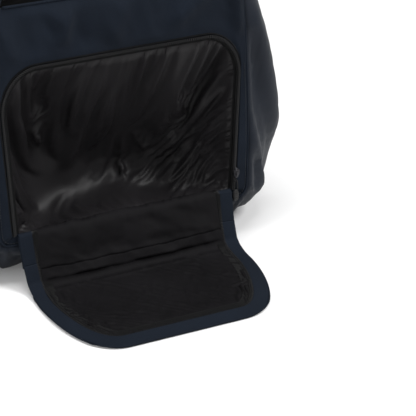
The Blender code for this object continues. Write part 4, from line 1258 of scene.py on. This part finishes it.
# ---------------------------------------------------------------- grab handle
HANDLE_FOOT_Z, HANDLE_HALF, HANDLE_Y, HANDLE_ROWS = 0.5035, 0.0440, 0.090, 100
t = np.linspace(-1, 1, 90)
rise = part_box("grab_handle")[1][2] - 4 * MM - HANDLE_FOOT_Z
arch = np.stack([t * HANDLE_HALF, np.full(90, HANDLE_Y), HANDLE_FOOT_Z + rise * (1 - np.abs(t) ** 2.6) ** 0.6], 1)
arch = even(arch, HANDLE_ROWS)
up = square_to(arch, BACK)
roll = smooth((0.72 - np.abs(np.linspace(-1, 1, HANDLE_ROWS))) / 0.25)
size = np.stack([10.0 * MM - 5.2 * MM * roll, 1.2 * MM + 3.0 * MM * roll], 1)
handle = sweep("grab_handle_wrap", arch, BACK, up, soft_section(1, 1, 2.6, 28), webbing, size)
webbed(handle, "handle", "grab_handle")
webbed(stitches("grab_handle_stitch", (arch - up * 4.0 * MM)[24:-24], -up[24:-24], thread), "handle")
for name in ("left", "right"):
    foot = f"handle_foot_{name}"
    sewn_patch(f"{foot}_patch", f"{foot}_stitch", foot, 1, 2, 16, (0.72, 0.72), SQUARE)

# ---------------------------------------------------------------- inside
low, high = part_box("racket_sleeve_panel")
u, v = steps(0, 60, 60)
x, z = low[0] + (high[0] - low[0]) * u + 0 * v, low[2] + (high[2] - low[2]) * v + 0 * u
wall = np.concatenate([BAG_TUB[FLAT_POINTS:-1], BAG_DOME[:-8]])
x = x / high[0] * np.minimum((high[0] - low[0]) / 2, np.interp(z, wall[:, 1], wall[:, 0]) - 9 * MM)
z = z - 0.022 * smooth((z - 0.3) / 0.115) * (1 - (x / high[0]) ** 2)
sleeve = np.stack([x, (low[1] + high[1]) / 2 + cloud(x, z, 14, 82) * 2.5 * MM + 1.5 * MM, z], 2)
sleeve_cloth = cloth("racket_sleeve_cloth", sleeve, inner_cloth, thickness=2.2 * MM, out=(0, 0.3, 0.2))
fitted(sleeve_cloth, "bag", "black_lining", "racket_sleeve_panel")
trim = sleeve[:, -1] + OUT * 1.1 * MM
webbed(sweep("racket_sleeve_binding", trim, BACK, UP, soft_section(2.0 * MM, 5.0 * MM, 4, 16), binding), "bag")

# the divider runs from the front over the shoe room and down behind it
low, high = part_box("shoe_divider")
profile = even([(low[1] + 4 * MM, high[2] - 2.0 * MM), (high[1] - 20 * MM, high[2] - 1.2 * MM),
                (high[1] - 5 * MM, high[2] - 3.0 * MM), (high[1] - 1.4 * MM, high[2] - 12 * MM),
                (high[1] - 1.2 * MM, low[2] + 2 * MM)], 90)
u = np.linspace(-1, 1, 80)[:, None]
half = np.interp(profile[:, 1], BAG_TUB[FLAT_POINTS:, 1], BAG_TUB[FLAT_POINTS:, 0])
deep = smooth((profile[:, 0] - FRONT_Y) / ROUNDING)
half = np.minimum(seam_x(profile[:, 1]) * (1 - deep) + half * deep, high[0] + 12 * MM) - 9 * MM
x = u * half
grid = np.stack([x, profile[:, 0] + 0 * x, profile[:, 1] + 0 * x], 2)
grid += normals(grid) * (cloud(x, grid[..., 2] + grid[..., 1], 18, 91) * 1.6 * MM * (1 - u**8))[..., None]
divider = cloth("shoe_divider_cloth", grid, inner_cloth, thickness=1.0 * MM, out=(0, -0.1, 0.1))
fitted(divider, "bag", "black_lining", "shoe_divider")

# the front pocket's lining: rings from its front to its back, with their share of the width and their lower edge
low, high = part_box("pocket_liner")
RING_POINTS = 96
rings = []
for k, (y, spread, low_z, drawn_in) in enumerate((
        (low[1] + 1 * MM, 0.80, 0.316, 0.030), (low[1] + 5 * MM, 0.92, 0.300, 0),
        (low[1] + 14 * MM, 0.97, 0.290, 0), (high[1] - 8 * MM, 0.96, 0.288, 0),
        (high[1] - 1.5 * MM, 0.90, 0.296, 0), (high[1] - 1 * MM, 0.3, 0.33, 0.012))):
    top_z = high[2] - 3 * MM - drawn_in - 4 * MM * (5 - k)
    shape = soft_section(high[0] * spread - 3 * MM, (top_z - low_z) / 2, 5, RING_POINTS)
    at_y = max(y, float(front_y(min(top_z, 0.40))) + 3 * MM)
    rings.append(np.stack([shape[:, 0], np.full(RING_POINTS, at_y), (top_z + low_z) / 2 + shape[:, 1]], 1))
fine = np.array([even(column, 40) for column in np.array(rings).swapaxes(0, 1)])
fine = np.concatenate([fine, fine[:1]], 0)
wave = cloud(fine[..., 0], fine[..., 2] + fine[..., 1] * 2, 26, 95) * 3.0 * MM
wave[-1] = wave[0]
fine += normals(fine) * (wave * smooth(np.linspace(0, 1, 40) * 4)[None])[..., None]
pocket = cloth("front_pocket_lining", fine, lining, thickness=0.6 * MM, out=(0, 0, 0.34))
fitted(pocket, "lid", "black_lining", "pocket_liner")

low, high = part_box("base_board")
u, v = steps(-1, 50, 36)
x = u * (high[0] - 1 * MM) * (1 - 0.02 * v**8)
y = (low[1] + high[1]) / 2 + v * (high[1] - low[1] - 2 * MM) / 2 * (1 - 0.02 * u**8)
grid = np.stack([x, y, high[2] - 0.3 * MM + cloud(x, y, 20, 97) * 0.25 * MM], 2)
cover = cloth("base_board_cover", grid, inner_cloth, thickness=1.5 * MM, out=(0, 0, -1))
fitted(cover, "bag", "black_lining", "base_board")

# ---------------------------------------------------------------- finishes of the CAD pieces that stay
for node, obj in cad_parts.items():
    if obj.hide_render:
        continue
    finish = moulded if "lock" in node else webbing
    for slot in obj.material_slots:
        slot.material = finish
    if not obj.material_slots:
        obj.data.materials.append(finish)


# ---------------------------------------------------------------- stage, light and camera
def plain(name, colour, glow):
    f = Finish(name, colour, 0.9, 0.1, coords="Object")
    f.tint(f.texture("Noise", Scale=3.0, Detail=2.0), 0.995, 1)
    f.shader["Emission Color"].default_value = (1, 1, 1, 1)
    f.shader["Emission Strength"].default_value = glow
    return f.mat


FLOOR_HALF, FLOOR_Z = 30, -0.6 * MM
floor = put("floor", [(x * FLOOR_HALF, y * FLOOR_HALF, FLOOR_Z) for x, y in SQUARE[:4]], [(0, 1, 2, 3)],
            plain("pale_floor", (0.82, 0.82, 0.82), 0.10))
MIDDLE = (0, -0.05, 0.2)


def softbox(name, place, size, power):
    light = bpy.data.lights.new(name, "AREA")
    light.shape = "RECTANGLE"
    light.size, light.size_y = size
    light.energy = power
    lamp = bpy.data.objects.new(name, light)
    bpy.context.scene.collection.objects.link(lamp)
    lamp.location = place
    lamp.rotation_euler = (Vector(MIDDLE) - Vector(place)).to_track_quat("-Z", "Y").to_euler()


softbox("key_light", (1.3, -1.2, 2.1), (0.8, 0.8), 50)
softbox("side_light", (-1.9, -0.7, 1.2), (0.7, 1.6), 16)
softbox("top_light", (-0.2, -0.5, 2.6), (1.4, 0.7), 30)
softbox("back_light", (-0.6, 2.4, 1.6), (1.6, 1.2), 26)

world = bpy.data.worlds.new("studio")
bpy.context.scene.world = world
world.use_nodes = True
world.node_tree.nodes["Background"].inputs["Color"].default_value = (1, 1, 1, 1)
world.node_tree.nodes["Background"].inputs["Strength"].default_value = 0.24
bpy.context.scene.view_settings.view_transform = "Standard"

AZIMUTH, ELEVATION, DISTANCE = math.radians(-25), math.radians(28), 1.904
LOOK_AT = Vector((0.093, FRONT_Y, 0.041))
camera = bpy.data.objects.new("camera", bpy.data.cameras.new("camera"))
bpy.context.scene.collection.objects.link(camera)
level = math.cos(ELEVATION)
back = Vector((math.sin(AZIMUTH) * level, -math.cos(AZIMUTH) * level, math.sin(ELEVATION)))
camera.location = LOOK_AT + back * DISTANCE
camera.rotation_euler = back.to_track_quat("Z", "Y").to_euler()
camera.data.lens, camera.data.sensor_width = 155.8, 36
bpy.context.scene.camera = camera
